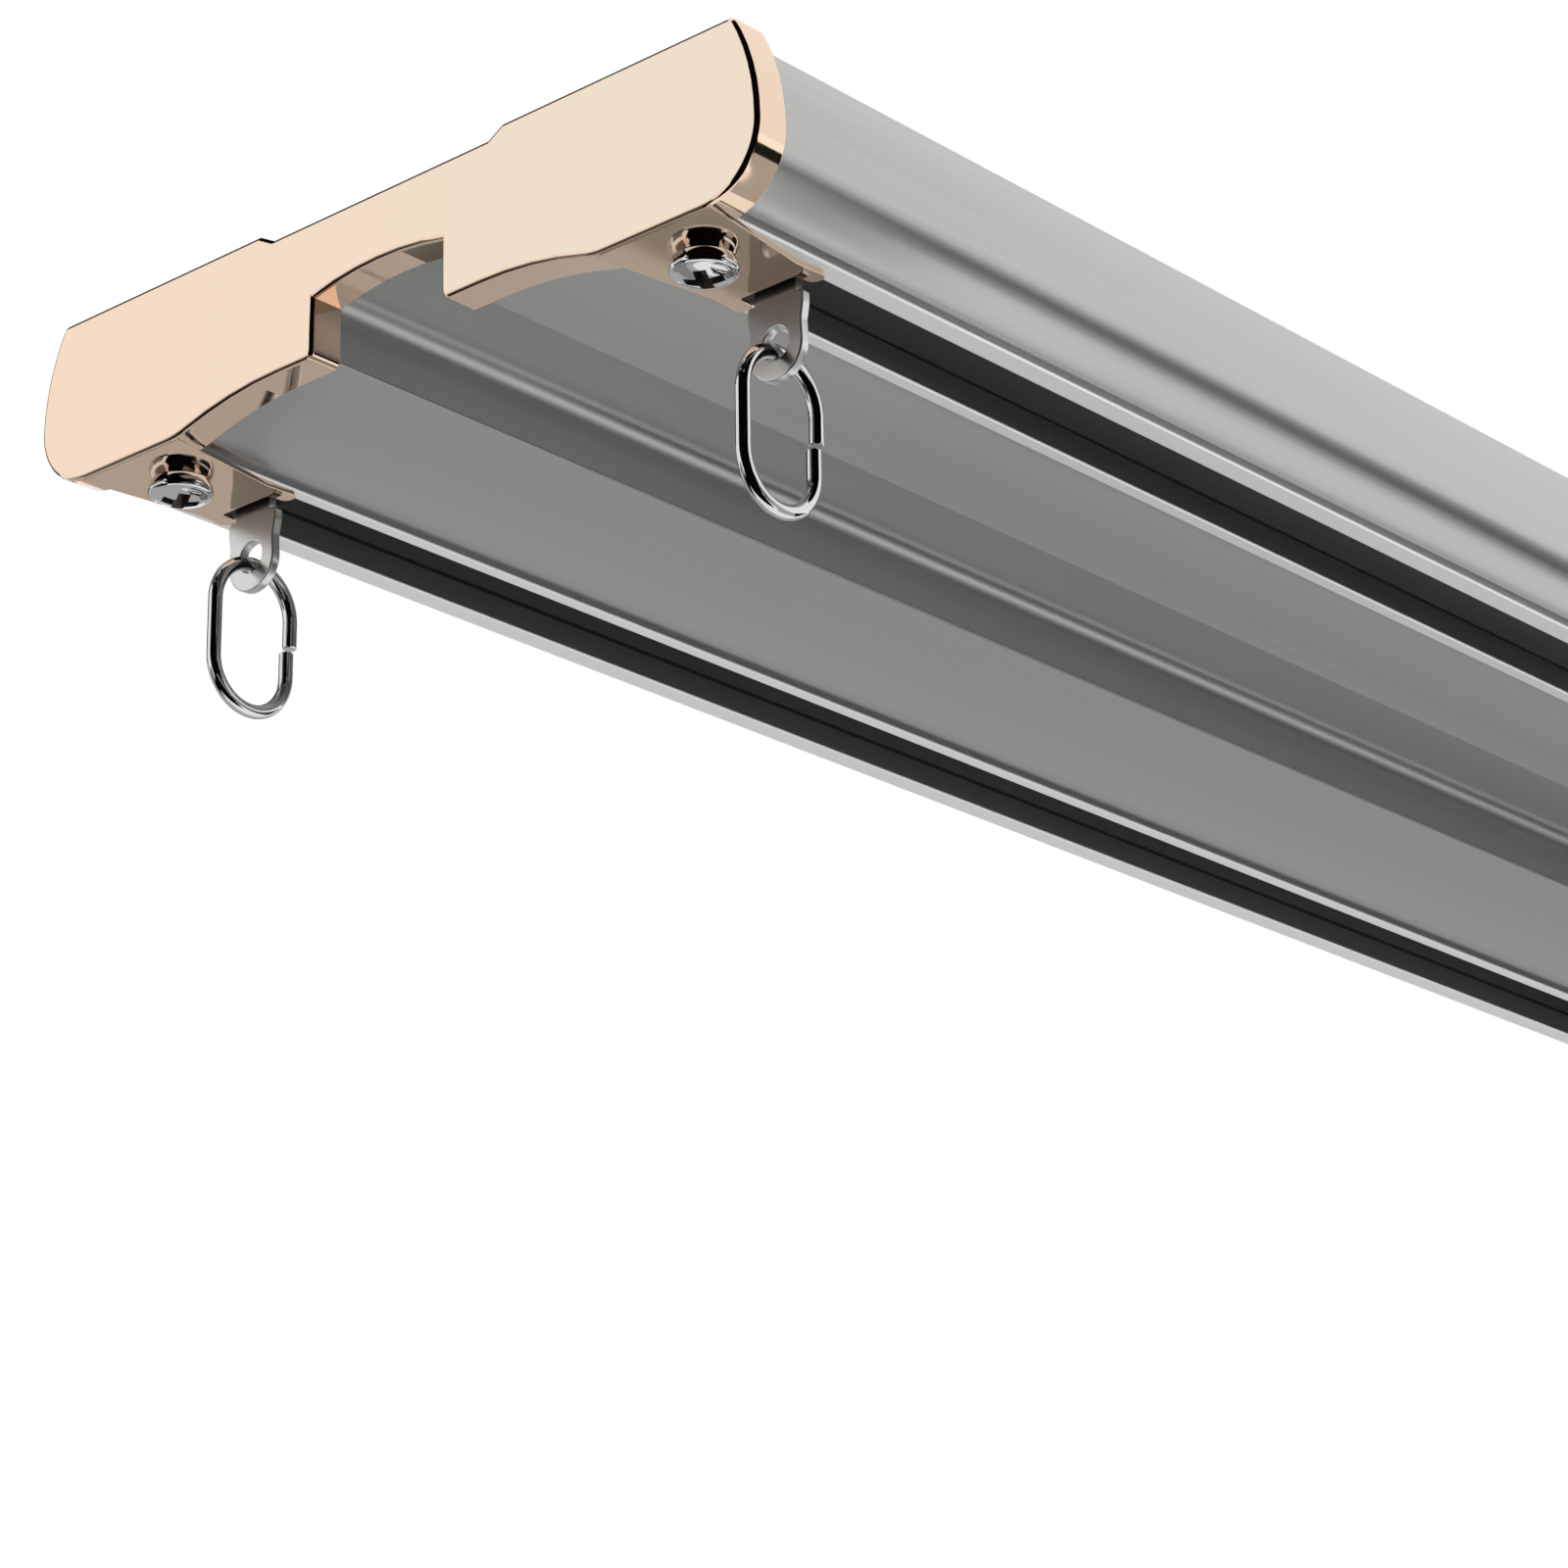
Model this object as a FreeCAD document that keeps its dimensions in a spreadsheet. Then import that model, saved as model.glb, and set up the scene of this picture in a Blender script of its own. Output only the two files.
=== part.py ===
"""Double curtain track: one extruded rail with two runner channels, die-cast end caps, ceiling
clips, and twin-wheel runners that each carry a steel hanger tab and a split wire ring.

Frame: X runs along the rail from the near cap to the far cap, -Y is the room side, +Z is up.
The origin lies in the ceiling plane, at the middle of the track, halfway between the two
ceiling screw holes. The front channel is at -Y, the rear channel at +Y.
"""
import FreeCAD, Part
import math
import os
import Sketcher
from FreeCAD import Placement, Rotation, Vector

# Driving dimensions in millimetres: alias, value, meaning
SIZES = [
    ("rail_length", 800.0, "length that the rail is cut to"),
    ("half_width", 58.3, "middle of the track to the widest point of the rail"),
    ("side_radius", 26.0, "bow of the rail's two sides"),
    ("base_radius", 7.0, "roll of each side into the underside"),
    ("cap_height", 21.8, "top of the end cap to its flat underside"),
    ("ceiling_gap", 0.3, "ceiling to the top of the end cap"),
    ("rim_wall", 1.3, "wall of the cap's rim round the rail"),
    ("cap_fit", 0.1, "gap between the rail and the cap's rim and face"),
    ("face_wall", 1.8, "thickness of the cap's face plate"),
    ("cap_depth", 4.7, "depth of the cap along the rail"),
    ("cap_corner", 1.2, "round on the cap's outer corners"),
    ("wall", 1.3, "wall of the extrusion"),
    ("rail_corner", 1.0, "round on the rail's outer corners"),
    ("slot_margin", 14.75, "middle of a runner slot to the widest point of the rail"),
    ("slot_width", 10.1, "width of a runner slot"),
    ("inner_lip", 2.0, "width of the lip on the slot's inner side"),
    ("outer_lip", 3.1, "width of the lip on the slot's outer side"),
    ("groove_width", 0.5, "shadow groove beside the outer lip"),
    ("groove_depth", 0.75, "depth of the shadow groove"),
    ("lip_rise", 0.5, "cap's flat underside up to the bottom of the lips"),
    ("lip_height", 3.4, "bottom of the lips up to the ledges that the wheels run over"),
    ("channel_inner", 10.75, "middle of the slot to the channel's inner wall"),
    ("wing_rise", 2.8, "rise of the underside from the lip to the wing's knee"),
    ("wing_knee", 17.0, "middle of the track to the knee of the wing"),
    ("roll_radius", 10.6, "first bend of the wing beside the lip"),
    ("recess_half", 12.2, "half width of the recess between the wings"),
    ("web_level", 7.25, "rail's top down to the crown of the web's underside"),
    ("web_rise", 1.25, "rise of the web's arch"),
    ("spring_round", 2.5, "hollow round where the web springs from a wing"),
    ("clip_channel", 18.0, "half width of the top channel that takes the ceiling clips"),
    ("flange_gap", 11.0, "half width of the opening between the top flanges"),
    ("flange_drop", 1.3, "rail's top down to the top of the flanges"),
    ("ramp_place", 18.1, "middle of the track to the foot of the slope beside a flange"),
    ("ramp_width", 2.4, "slope from the flanges up to the rail's top"),
    ("chamber_slope", 2.0, "slope of a wing's hollow beside the top channel"),
    ("liner_width", 4.7, "width of a running strip"),
    ("liner_height", 1.0, "thickness of a running strip"),
    ("liner_bevel", 0.3, "bevel on a running strip's upper edges"),
    ("liner_inset", 0.45, "edge of the ledge to the edge of the running strip"),
    ("liner_trim", 0.4, "running strip to the clamp plate beside it"),
    ("tongue_length", 22.0, "cap's face to the tips of its tongue"),
    ("tongue_end", 18.9, "cap's face to the bottom of the notch in the tongue's end"),
    ("tongue_root", 1.2, "cap's face to the start of the tongue"),
    ("tongue_half", 8.8, "half width of the tongue at its root"),
    ("tongue_waist", 6.4, "half width of the tongue at its waist"),
    ("tongue_flare", 6.9, "half width of the tongue at its tips"),
    ("tongue_notch", 4.3, "half width of the notch between the tips"),
    ("tongue_thick", 0.6, "thickness of the tongue"),
    ("tip_bevel", 0.8, "cut corners of the tongue's tips"),
    ("screw_place", 8.8, "cap's face to the axis of its screw"),
    ("screw_radius", 2.0, "shank of the cap screw"),
    ("screw_fit", 0.1, "gap round the screw in the tongue"),
    ("head_radius", 4.0, "head of the cap screw"),
    ("head_height", 3.1, "height of the cap screw's head"),
    ("waist_place", 17.0, "cap's face to the tongue's waist"),
    ("drive_width", 1.2, "width of an arm of the cross recess"),
    ("drive_span", 4.4, "length across the cross recess"),
    ("drive_depth", 1.4, "depth of the cross recess"),
    ("screw_end", 1.1, "end of the screw above the clamp plate"),
    ("clamp_near", 4.2, "cap's face to the near end of the clamp plate"),
    ("clamp_length", 7.8, "length of the clamp plate"),
    ("clamp_half", 8.6, "half width of the clamp plate"),
    ("clamp_thick", 2.5, "thickness of the clamp plate"),
    ("clamp_key", 1.5, "depth of the key under the clamp plate, in the slot"),
    ("key_fit", 0.15, "gap between the key and each lip"),
    ("thread_fit", 0.05, "gap between the screw and the clamp plate"),
    ("clip_spacing", 500.0, "distance between the two ceiling clips"),
    ("clip_length", 22.0, "clip plate along the rail"),
    ("clip_half", 17.6, "half width of the clip plate"),
    ("ceiling_hole", 2.5, "radius of the ceiling screw hole"),
    ("hook_thick", 1.5, "thickness of the clip's hook and lever"),
    ("hook_width", 14.0, "hook along the rail"),
    ("hook_reach", 4.6, "hook under the flange"),
    ("hook_fit", 0.2, "gap between the flange and the hook or lever"),
    ("lever_place", 7.4, "ceiling screw hole to the lever's pivot"),
    ("lever_tail", 3.2, "pivot to the tail of the lever"),
    ("lever_reach", 7.6, "pivot to the tip of the lever"),
    ("lever_half", 3.2, "half width of the lever"),
    ("lever_cut", 1.6, "cut corners of the lever"),
    ("rivet_radius", 1.4, "shank of the lever's rivet"),
    ("rivet_head", 2.6, "head of the lever's rivet"),
    ("rivet_cap", 0.7, "height of the rivet's head"),
    ("pivot_fit", 0.05, "gap round the rivet in the lever"),
    ("park_place", 21.0, "cap's face to a runner that is parked beside it"),
    ("wheel_radius", 6.2, "runner wheel"),
    ("wheel_width", 3.5, "tread of the runner wheel"),
    ("wheel_inner", 5.95, "middle of the runner to the inner face of a wheel"),
    ("rolling_gap", 0.2, "wheel above the running strip"),
    ("axle_radius", 1.5, "runner axle"),
    ("axle_fit", 0.05, "gap round the axle"),
    ("carrier_half", 5.3, "half width of the runner's block between its wheels"),
    ("carrier_top_half", 4.5, "half length of the runner's block at the axle"),
    ("carrier_top", 3.6, "axle up to the top of the runner's block"),
    ("foot_half", 8.6, "half length of the runner over its feet"),
    ("foot_reach", 9.0, "half width of the runner over its feet"),
    ("foot_length", 2.0, "length of a foot"),
    ("foot_height", 2.6, "height of the feet"),
    ("foot_gap", 0.2, "feet above the running strips"),
    ("tab_thick", 1.3, "thickness of the hanger tab"),
    ("tab_neck", 3.1, "half width of the tab in the slot"),
    ("tab_shoulder", 4.2, "half width of the tab under the slot"),
    ("tab_eye", 4.0, "radius of the tab's round end"),
    ("tab_drop", 11.5, "bottom of the lips down to the bottom of the tab"),
    ("shoulder_drop", 1.4, "bottom of the lips down to the tab's shoulders"),
    ("shoulder_cut", 0.5, "cut corner of a shoulder"),
    ("shoulder_side", 1.5, "straight side of a shoulder"),
    ("tab_hole", 2.0, "radius of the tab's eye"),
    ("hole_margin", 2.5, "metal under the tab's eye"),
    ("tab_head", 4.4, "half width of the tab's head in the block"),
    ("tab_head_height", 1.8, "height of that head"),
    ("tab_grip", 1.4, "axle hole down to the top of the tab's head"),
    ("tab_fit", 0.05, "gap round the tab in the block"),
    ("ring_wire", 0.9, "radius of the ring's wire"),
    ("ring_width", 14.0, "width of the ring over its wire"),
    ("ring_height", 21.0, "height of the ring over its wire"),
    ("ring_gap", 0.7, "split in the ring's leg"),
    ("ring_step", 0.5, "sideways step between the split ends"),
    ("ring_seat", 0.1, "wire above the bottom of the tab's eye"),
]

RUNNERS_PER_CHANNEL = 3
CHANNELS = (("front", -1), ("rear", 1))
WHEEL_FLATS = 20
WIRE_FLATS = 8
BEND_CHORDS = 6

doc = FreeCAD.newDocument("double_curtain_track")
sheet = doc.addObject("Spreadsheet::Sheet", "Sizes")
for row, (alias, value, meaning) in enumerate(SIZES, 1):
    sheet.set(f"A{row}", alias)
    sheet.set(f"B{row}", str(value))
    sheet.set(f"C{row}", meaning)
    sheet.setAlias(f"B{row}", alias)
doc.recompute()


class Length:
    """A length that carries its value and the formula over the sheet's cells that gives it."""

    def __init__(self, value, formula):
        self.value = float(value)
        self.formula = formula

    def joined(self, other, sign, value):
        return Length(value, f"({self.formula} {sign} {other.formula})")

    def __add__(self, other):
        other = length(other)
        return self.joined(other, "+", self.value + other.value)

    def __sub__(self, other):
        other = length(other)
        return self.joined(other, "-", self.value - other.value)

    def __mul__(self, other):
        other = length(other)
        return self.joined(other, "*", self.value * other.value)

    def __truediv__(self, other):
        other = length(other)
        return self.joined(other, "/", self.value / other.value)

    def __neg__(self):
        return Length(-self.value, f"(0 - {self.formula})")

    def root(self):
        return Length(math.sqrt(self.value), f"sqrt({self.formula})")


def length(number):
    """A plain number as a Length; a Length as it is."""
    if isinstance(number, Length):
        return number
    return Length(number, repr(float(number)))


def size(alias):
    """The sheet's cell of that alias."""
    return Length(sheet.get(alias), f"Sizes.{alias}")


def chord(radius, rise):
    """Half chord of a circle at a distance from its centre."""
    return (radius * radius - rise * rise).root()


ZERO = length(0)

# Levels of the section, from the ceiling down
inset = size("rim_wall") + size("cap_fit")
rail_top = -(size("ceiling_gap") + inset)
cap_base = -(size("ceiling_gap") + size("cap_height"))
rail_base = cap_base + inset
lip_base = cap_base + size("lip_rise")
ledge = lip_base + size("lip_height")
roof = rail_top - size("wall")
flange_top = rail_top - size("flange_drop")
flange_under = flange_top - size("wall")
web_under = rail_top - size("web_level")
web_top = web_under + size("wall")
springing = web_under - size("web_rise")
bow_level = rail_base + size("base_radius")
liner_top = ledge + size("liner_height")
axle_level = liner_top + size("rolling_gap") + size("wheel_radius")

# Places across the section, from the middle of the track outwards
bow_centre = size("half_width") - size("side_radius")
base_centre = size("half_width") - size("base_radius")
slot_offset = size("half_width") - size("slot_margin")
slot_inner = slot_offset - size("slot_width") / 2
slot_outer = slot_offset + size("slot_width") / 2
wing_start = slot_inner - size("inner_lip")
lip_outer = slot_outer + size("outer_lip")
channel_wall = slot_offset - size("channel_inner")
wing_reach = wing_start - size("wing_knee")
bend_sum = (wing_reach * wing_reach + size("wing_rise") * size("wing_rise")) / (size("wing_rise") * 2)
ramp_top = size("ramp_place") + size("ramp_width")

# Places along the rail, from its middle
rail_end = size("rail_length") / 2
cap_face = rail_end + size("cap_fit") + size("face_wall")
half_slot = size("slot_width") / 2


def role_plane(body, role):
    """One of the body's own origin planes."""
    return next(item for item in body.Origin.OriginFeatures if item.Role == role)


def new_body(label):
    body = doc.addObject("PartDesign::Body", label)
    body.Label = label
    return body


def new_sketch(body, name, role, level=ZERO):
    """A sketch on one of the body's origin planes, raised along the plane's normal."""
    sketch = body.newObject("Sketcher::SketchObject", name)
    sketch.AttachmentSupport = (role_plane(body, role), "")
    sketch.MapMode = "FlatFace"
    sketch.AttachmentOffset = Placement(Vector(0, 0, level.value), Rotation())
    sketch.setExpression("AttachmentOffset.Base.z", level.formula)
    return sketch


def bind(rules, kind, element, point, value):
    """Add a constraint on one point or edge whose value follows the sheet."""
    if kind == "Radius":
        rules.append((Sketcher.Constraint(kind, element, value.value), value.formula))
    elif abs(value.value) < 1e-9:
        axis = -2 if kind == "DistanceX" else -1
        rules.append((Sketcher.Constraint("PointOnObject", element, point, axis), None))
    else:
        rules.append((Sketcher.Constraint(kind, element, point, value.value), value.formula))


def apply_rules(sketch, rules):
    """Put the constraints on the sketch in one go, then tie their values to the sheet."""
    first = sketch.ConstraintCount
    sketch.addConstraint([constraint for constraint, _ in rules])
    for number, (_, formula) in enumerate(rules, first):
        if formula is not None:
            sketch.setExpression(f"Constraints[{number}]", formula)


def arc_through(here, there, radius, side):
    """The short arc of a radius between two points; side 1 bulges to the left of travel."""
    run = there - here
    half = run.Length / 2
    rise = radius - math.sqrt(max(radius ** 2 - half ** 2, 0))
    left = Vector(-run.y, run.x, 0).normalize()
    return Part.Arc(here, (here + there) / 2 + left * rise * side, there)


def draw_path(sketch, corners, closed=True):
    """Lines and arcs through corners (across, up, bend). A bend is None for a straight edge to
    the next corner, or (radius, side) for an arc."""
    first = sketch.GeometryCount
    points = [Vector(corner[0].value, corner[1].value, 0) for corner in corners]
    edges = len(corners) if closed else len(corners) - 1
    shapes = []
    for n in range(edges):
        here = points[n]
        there = points[(n + 1) % len(points)]
        bend = corners[n][2]
        if bend is None:
            shapes.append(Part.LineSegment(here, there))
        else:
            shapes.append(arc_through(here, there, bend[0].value, bend[1]))
    sketch.addGeometry(shapes)
    rules = []
    for n in range(edges):
        element = first + n
        start = start_of(sketch, element, points[n])
        bind(rules, "DistanceX", element, start, corners[n][0])
        bind(rules, "DistanceY", element, start, corners[n][1])
        if corners[n][2] is not None:
            bind(rules, "Radius", element, 0, corners[n][2][0])
        if closed or n + 1 < edges:
            follower = first + (n + 1) % edges
            joint = start_of(sketch, follower, points[(n + 1) % len(points)])
            ends = (element, 3 - start, follower, joint)
            rules.append((Sketcher.Constraint("Coincident", *ends), None))
        else:
            bind(rules, "DistanceX", element, 3 - start, corners[-1][0])
            bind(rules, "DistanceY", element, 3 - start, corners[-1][1])
    apply_rules(sketch, rules)


def start_of(sketch, element, point):
    """1 or 2: which end of the element lies at the point."""
    near = (sketch.getPoint(element, 1) - point).Length
    far = (sketch.getPoint(element, 2) - point).Length
    return 1 if near <= far else 2


def draw_circle(sketch, across, up, radius):
    centre = Vector(across.value, up.value, 0)
    element = sketch.addGeometry(Part.Circle(centre, Vector(0, 0, 1), radius.value))
    rules = []
    bind(rules, "DistanceX", element, 3, across)
    bind(rules, "DistanceY", element, 3, up)
    bind(rules, "Radius", element, 0, radius)
    apply_rules(sketch, rules)


def draw_rectangle(sketch, low_across, low_up, high_across, high_up):
    corners = [
        (low_across, low_up, None),
        (high_across, low_up, None),
        (high_across, high_up, None),
        (low_across, high_up, None),
    ]
    draw_path(sketch, corners)


def feature(body, kind, name, sketch, depth, side="One side", backwards=False):
    """A Pad or Pocket of a sketch; a pocket that takes nothing away is an error."""
    before = body.Shape.Volume if kind == "Pocket" else 0
    item = body.newObject(f"PartDesign::{kind}", name)
    item.Profile = sketch
    item.SideType = side
    item.Reversed = backwards
    item.Length = depth.value
    item.setExpression("Length", depth.formula)
    doc.recompute()
    if kind == "Pocket" and body.Shape.Volume > before - 1e-6:
        raise RuntimeError(f"{body.Label}: pocket {name} takes nothing away")
    return item


def revolve(body, name, sketch, axis):
    """A full turn of a sketch about one of its own axes."""
    item = body.newObject("PartDesign::Revolution", name)
    item.Profile = sketch
    item.ReferenceAxis = (sketch, [axis])
    item.Angle = 360
    doc.recompute()
    return item


def dress(body, kind, name, width, test):
    """A Fillet or Chamfer on every edge of the body's solid that passes the test."""
    names = [f"Edge{n}" for n, edge in enumerate(body.Shape.Edges, 1) if test(edge)]
    if not names:
        raise RuntimeError(f"{body.Label}: no edge for {name}")
    base = body.Tip
    item = body.newObject(f"PartDesign::{kind}", name)
    item.Base = (base, names)
    setting = "Radius" if kind == "Fillet" else "Size"
    setattr(item, setting, width.value)
    item.setExpression(setting, width.formula)
    doc.recompute()
    return item


def runs_along(axis, *places):
    """Test for straight edges along an axis (0, 1 or 2) through given places on the other two."""

    def test(edge):
        ends = [tuple(vertex.Point) for vertex in edge.Vertexes]
        if len(ends) < 2 or not isinstance(edge.Curve, Part.Line):
            return False
        others = [n for n in range(3) if n != axis]
        flat = [tuple(end[n] for n in others) for end in ends]
        if max(abs(flat[0][n] - flat[1][n]) for n in range(2)) > 1e-6:
            return False
        return any(math.dist(flat[0], place) < 1e-3 for place in places)

    return test


def place(item, x, y=ZERO, turn=0):
    """Put a sub-part at a place along and across the track, turned about the vertical."""
    item.Placement = Placement(Vector(x.value, y.value, 0), Rotation(Vector(0, 0, 1), turn))
    item.setExpression(".Placement.Base.x", x.formula)
    item.setExpression(".Placement.Base.y", y.formula)


def group(label, members):
    """Like pieces that share one node as separate solids."""
    item = doc.addObject("Part::Compound", label)
    item.Label = label
    item.Links = members
    return item


# Outlines shared by the rail and its caps


def both_halves(half):
    """A half outline at +Y joined to its mirror image at -Y."""
    bends = [corner[2] for corner in half]
    mirrored = []
    for n in reversed(range(len(half))):
        bend = bends[n - 1] if n else None
        mirrored.append((-half[n][0], half[n][1], bend))
    return half + mirrored


def mirror_loop(loop):
    """A closed outline's mirror image."""
    count = len(loop)
    return [(-loop[n][0], loop[n][1], loop[n - 1][2]) for n in reversed(range(count))]


def bend_meeting(offset):
    """Where the wing's two bends meet, at a distance outside the rail's skin."""
    share = (size("roll_radius") + offset) / bend_sum
    across = wing_start - share * wing_reach
    up = rail_base + size("roll_radius") - share * (bend_sum - size("wing_rise"))
    return across, up


def arch_radius(offset):
    """Radius of the web's arch at a distance outside the rail's skin."""
    half = size("recess_half") - offset
    rise = size("web_rise")
    return (half * half + rise * rise) / (rise * 2)


def top_and_side(offset):
    """The top recess, the top and the bowed side, down to the roll into the underside."""
    top = rail_top + offset
    side = size("side_radius") + offset
    return [
        (size("ramp_place"), flange_top + offset, None),
        (ramp_top, top, None),
        (bow_centre + chord(side, top - bow_level), top, (side, 1)),
        (size("half_width") + offset, bow_level, (size("base_radius") + offset, 1)),
    ]


def wing_and_arch(offset):
    """The wing's second bend, its flat, its inner wall and the arch of the web."""
    across, up = bend_meeting(offset)
    flat = rail_base + size("wing_rise") - offset
    inner = size("recess_half") - offset
    return [
        (across, up, (bend_sum - size("roll_radius") - offset, -1)),
        (size("wing_knee"), flat, None),
        (inner, flat, None),
        (inner, springing - offset, (arch_radius(offset), -1)),
    ]


def cap_outline():
    """The end cap seen from its face."""
    underside = [
        (base_centre, cap_base, None),
        (wing_start, cap_base, (size("roll_radius") + inset, 1)),
    ]
    return both_halves(top_and_side(inset) + underside + wing_and_arch(inset))


def cap_socket_outline():
    """The rail's outline with the cap's fit round it, opened down to the lips."""
    fit = size("cap_fit")
    outer_edge = lip_outer + fit
    inner_edge = wing_start - fit
    roll = size("base_radius") + fit
    bend = size("roll_radius") + fit
    underside = [
        (outer_edge, bow_level - chord(roll, outer_edge - base_centre), None),
        (outer_edge, lip_base, None),
        (inner_edge, lip_base, None),
        (inner_edge, rail_base + size("roll_radius") - chord(bend, fit), (bend, 1)),
    ]
    return both_halves(top_and_side(fit) + underside + wing_and_arch(fit))


def rail_outline():
    """The rail's skin, in and out of both runner channels and the top channel."""
    wall = size("wall")
    groove_edge = lip_outer + size("groove_width")
    groove_top = rail_base + size("groove_depth")
    roll = size("base_radius")
    inner_roll = roll - wall
    inner_side = size("side_radius") - wall
    half = [
        (size("clip_channel"), web_top, None),
        (size("clip_channel"), flange_under, None),
        (size("flange_gap"), flange_under, None),
        (size("flange_gap"), flange_top, None),
    ]
    half += top_and_side(ZERO)
    half += [
        (groove_edge, bow_level - chord(roll, groove_edge - base_centre), None),
        (groove_edge, groove_top, None),
        (lip_outer, groove_top, None),
        (lip_outer, lip_base, None),
        (slot_outer, lip_base, None),
        (slot_outer, ledge, None),
        (base_centre + chord(inner_roll, ledge - bow_level), ledge, (inner_roll, -1)),
        (size("half_width") - wall, bow_level, (inner_side, -1)),
        (bow_centre + chord(inner_side, roof - bow_level), roof, None),
        (channel_wall, roof, None),
        (channel_wall, ledge, None),
        (slot_inner, ledge, None),
        (slot_inner, lip_base, None),
        (wing_start, lip_base, None),
        (wing_start, rail_base, (size("roll_radius"), 1)),
    ]
    half += wing_and_arch(ZERO)
    return both_halves(half)


def wing_chamber():
    """The closed hollow of the wing at +Y."""
    wall = size("wall")
    outer = channel_wall - wall
    inner = size("recess_half") + wall
    step = size("clip_channel") + wall
    floor = rail_base + size("wing_rise") + wall
    bend = bend_sum - size("roll_radius") + wall
    floor_edge = floor - bend + chord(bend, outer - size("wing_knee"))
    return [
        (inner, floor, None),
        (inner, web_under, None),
        (step, web_under, None),
        (step, flange_under, None),
        (step + size("chamber_slope"), roof, None),
        (outer, roof, None),
        (outer, floor_edge, (bend, -1)),
        (size("wing_knee"), floor, None),
    ]


def make_rail():
    """The extrusion: two slotted channels, two closed wings, an arched web and a top channel."""
    body = new_body("rail_profile")
    sketch = new_sketch(body, "rail_section", "YZ_Plane", -rail_end)
    draw_path(sketch, rail_outline())
    draw_path(sketch, wing_chamber())
    draw_path(sketch, mirror_loop(wing_chamber()))
    feature(body, "Pad", "rail_pull", sketch, size("rail_length"))
    top_corner = top_and_side(ZERO)[2]
    corners = [
        (side * top_corner[0].value, top_corner[1].value)
        for side in (-1, 1)
    ]
    wing = wing_and_arch(ZERO)
    corners += [(side * wing[2][0].value, wing[2][1].value) for side in (-1, 1)]
    dress(body, "Fillet", "rail_corners", size("rail_corner"), runs_along(0, *corners))
    springs = [(side * wing[3][0].value, wing[3][1].value) for side in (-1, 1)]
    dress(body, "Fillet", "rail_springs", size("spring_round"), runs_along(0, *springs))
    return body


def make_liner(label, side, inner):
    """One running strip with bevelled edges, laid on a ledge beside the slot."""
    width = size("liner_width")
    bevel = size("liner_bevel")
    if inner:
        far = slot_inner - size("liner_inset")
        near = far - width
    else:
        near = slot_outer + size("liner_inset")
        far = near + width
    strip_end = cap_face - size("clamp_near") - size("clamp_length") - size("liner_trim")
    body = new_body(label)
    sketch = new_sketch(body, f"{label}_section", "YZ_Plane", -strip_end)
    loop = [
        (near, ledge, None),
        (far, ledge, None),
        (far, liner_top - bevel, None),
        (far - bevel, liner_top, None),
        (near + bevel, liner_top, None),
        (near, liner_top - bevel, None),
    ]
    draw_path(sketch, loop if side > 0 else mirror_loop(loop))
    feature(body, "Pad", f"{label}_pull", sketch, strip_end * 2)
    return body


# End caps with their screws and clamp plates


def tongue_loop(side):
    """The tongue under one slot: it narrows to a waist and widens to tips beside a notch."""
    middle = slot_offset * side
    half = size("tongue_half")
    waist = size("tongue_waist")
    flare = size("tongue_flare")
    notch = size("tongue_notch")
    waist_place = size("waist_place")
    sweep = size("tongue_length") - waist_place
    rise = flare - waist
    bow = (sweep * sweep + rise * rise) / (rise * 2)
    return [
        (size("tongue_root"), middle - half, None),
        (waist_place, middle - waist, (bow, 1)),
        (size("tongue_length"), middle - flare, None),
        (size("tongue_length"), middle - notch, None),
        (size("tongue_end"), middle - notch, None),
        (size("tongue_end"), middle + notch, None),
        (size("tongue_length"), middle + notch, None),
        (size("tongue_length"), middle + flare, (bow, 1)),
        (waist_place, middle + waist, None),
        (size("tongue_root"), middle + half, None),
    ]


def make_cap(label, turn):
    """A die-cast cap: bowed face plate, rim over the rail's end and a tongue under each slot."""
    body = new_body(label)
    outline = cap_outline()
    sketch = new_sketch(body, f"{label}_face", "YZ_Plane")
    draw_path(sketch, outline)
    feature(body, "Pad", f"{label}_block", sketch, size("cap_depth"))
    top_corner = outline[2]
    wing_corner = outline[8]
    corners = [
        (side * corner[0].value, corner[1].value)
        for corner in (top_corner, wing_corner)
        for side in (-1, 1)
    ]
    dress(body, "Fillet", f"{label}_corners", size("cap_corner"), runs_along(0, *corners))
    sketch = new_sketch(body, f"{label}_socket", "YZ_Plane", size("face_wall"))
    draw_path(sketch, cap_socket_outline())
    feature(body, "Pocket", f"{label}_hollow", sketch, size("cap_depth"), backwards=True)
    spring = wing_and_arch(size("cap_fit"))[3]
    springs = [(side * spring[0].value, spring[1].value) for side in (-1, 1)]
    rounding = size("spring_round") - size("cap_fit")
    dress(body, "Fillet", f"{label}_springs", rounding, runs_along(0, *springs))
    underside = lip_base - size("tongue_thick")
    sketch = new_sketch(body, f"{label}_tongue_plan", "XY_Plane", underside)
    for side in (-1, 1):
        draw_path(sketch, tongue_loop(side))
    feature(body, "Pad", f"{label}_tongues", sketch, size("tongue_thick"))
    tips = [
        (size("tongue_length").value, side * (slot_offset.value + way * half.value))
        for side in (-1, 1)
        for way in (-1, 1)
        for half in (size("tongue_flare"), size("tongue_notch"))
    ]
    dress(body, "Chamfer", f"{label}_tips", size("tip_bevel"), runs_along(2, *tips))
    sketch = new_sketch(body, f"{label}_hole_plan", "XY_Plane", underside)
    for side in (-1, 1):
        middle = slot_offset * side
        draw_circle(sketch, size("screw_place"), middle, size("screw_radius") + size("screw_fit"))
    feature(body, "Pocket", f"{label}_holes", sketch, size("tongue_thick"), backwards=True)
    place(body, cap_face * (-1 if turn == 0 else 1), turn=turn)
    return body


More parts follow.
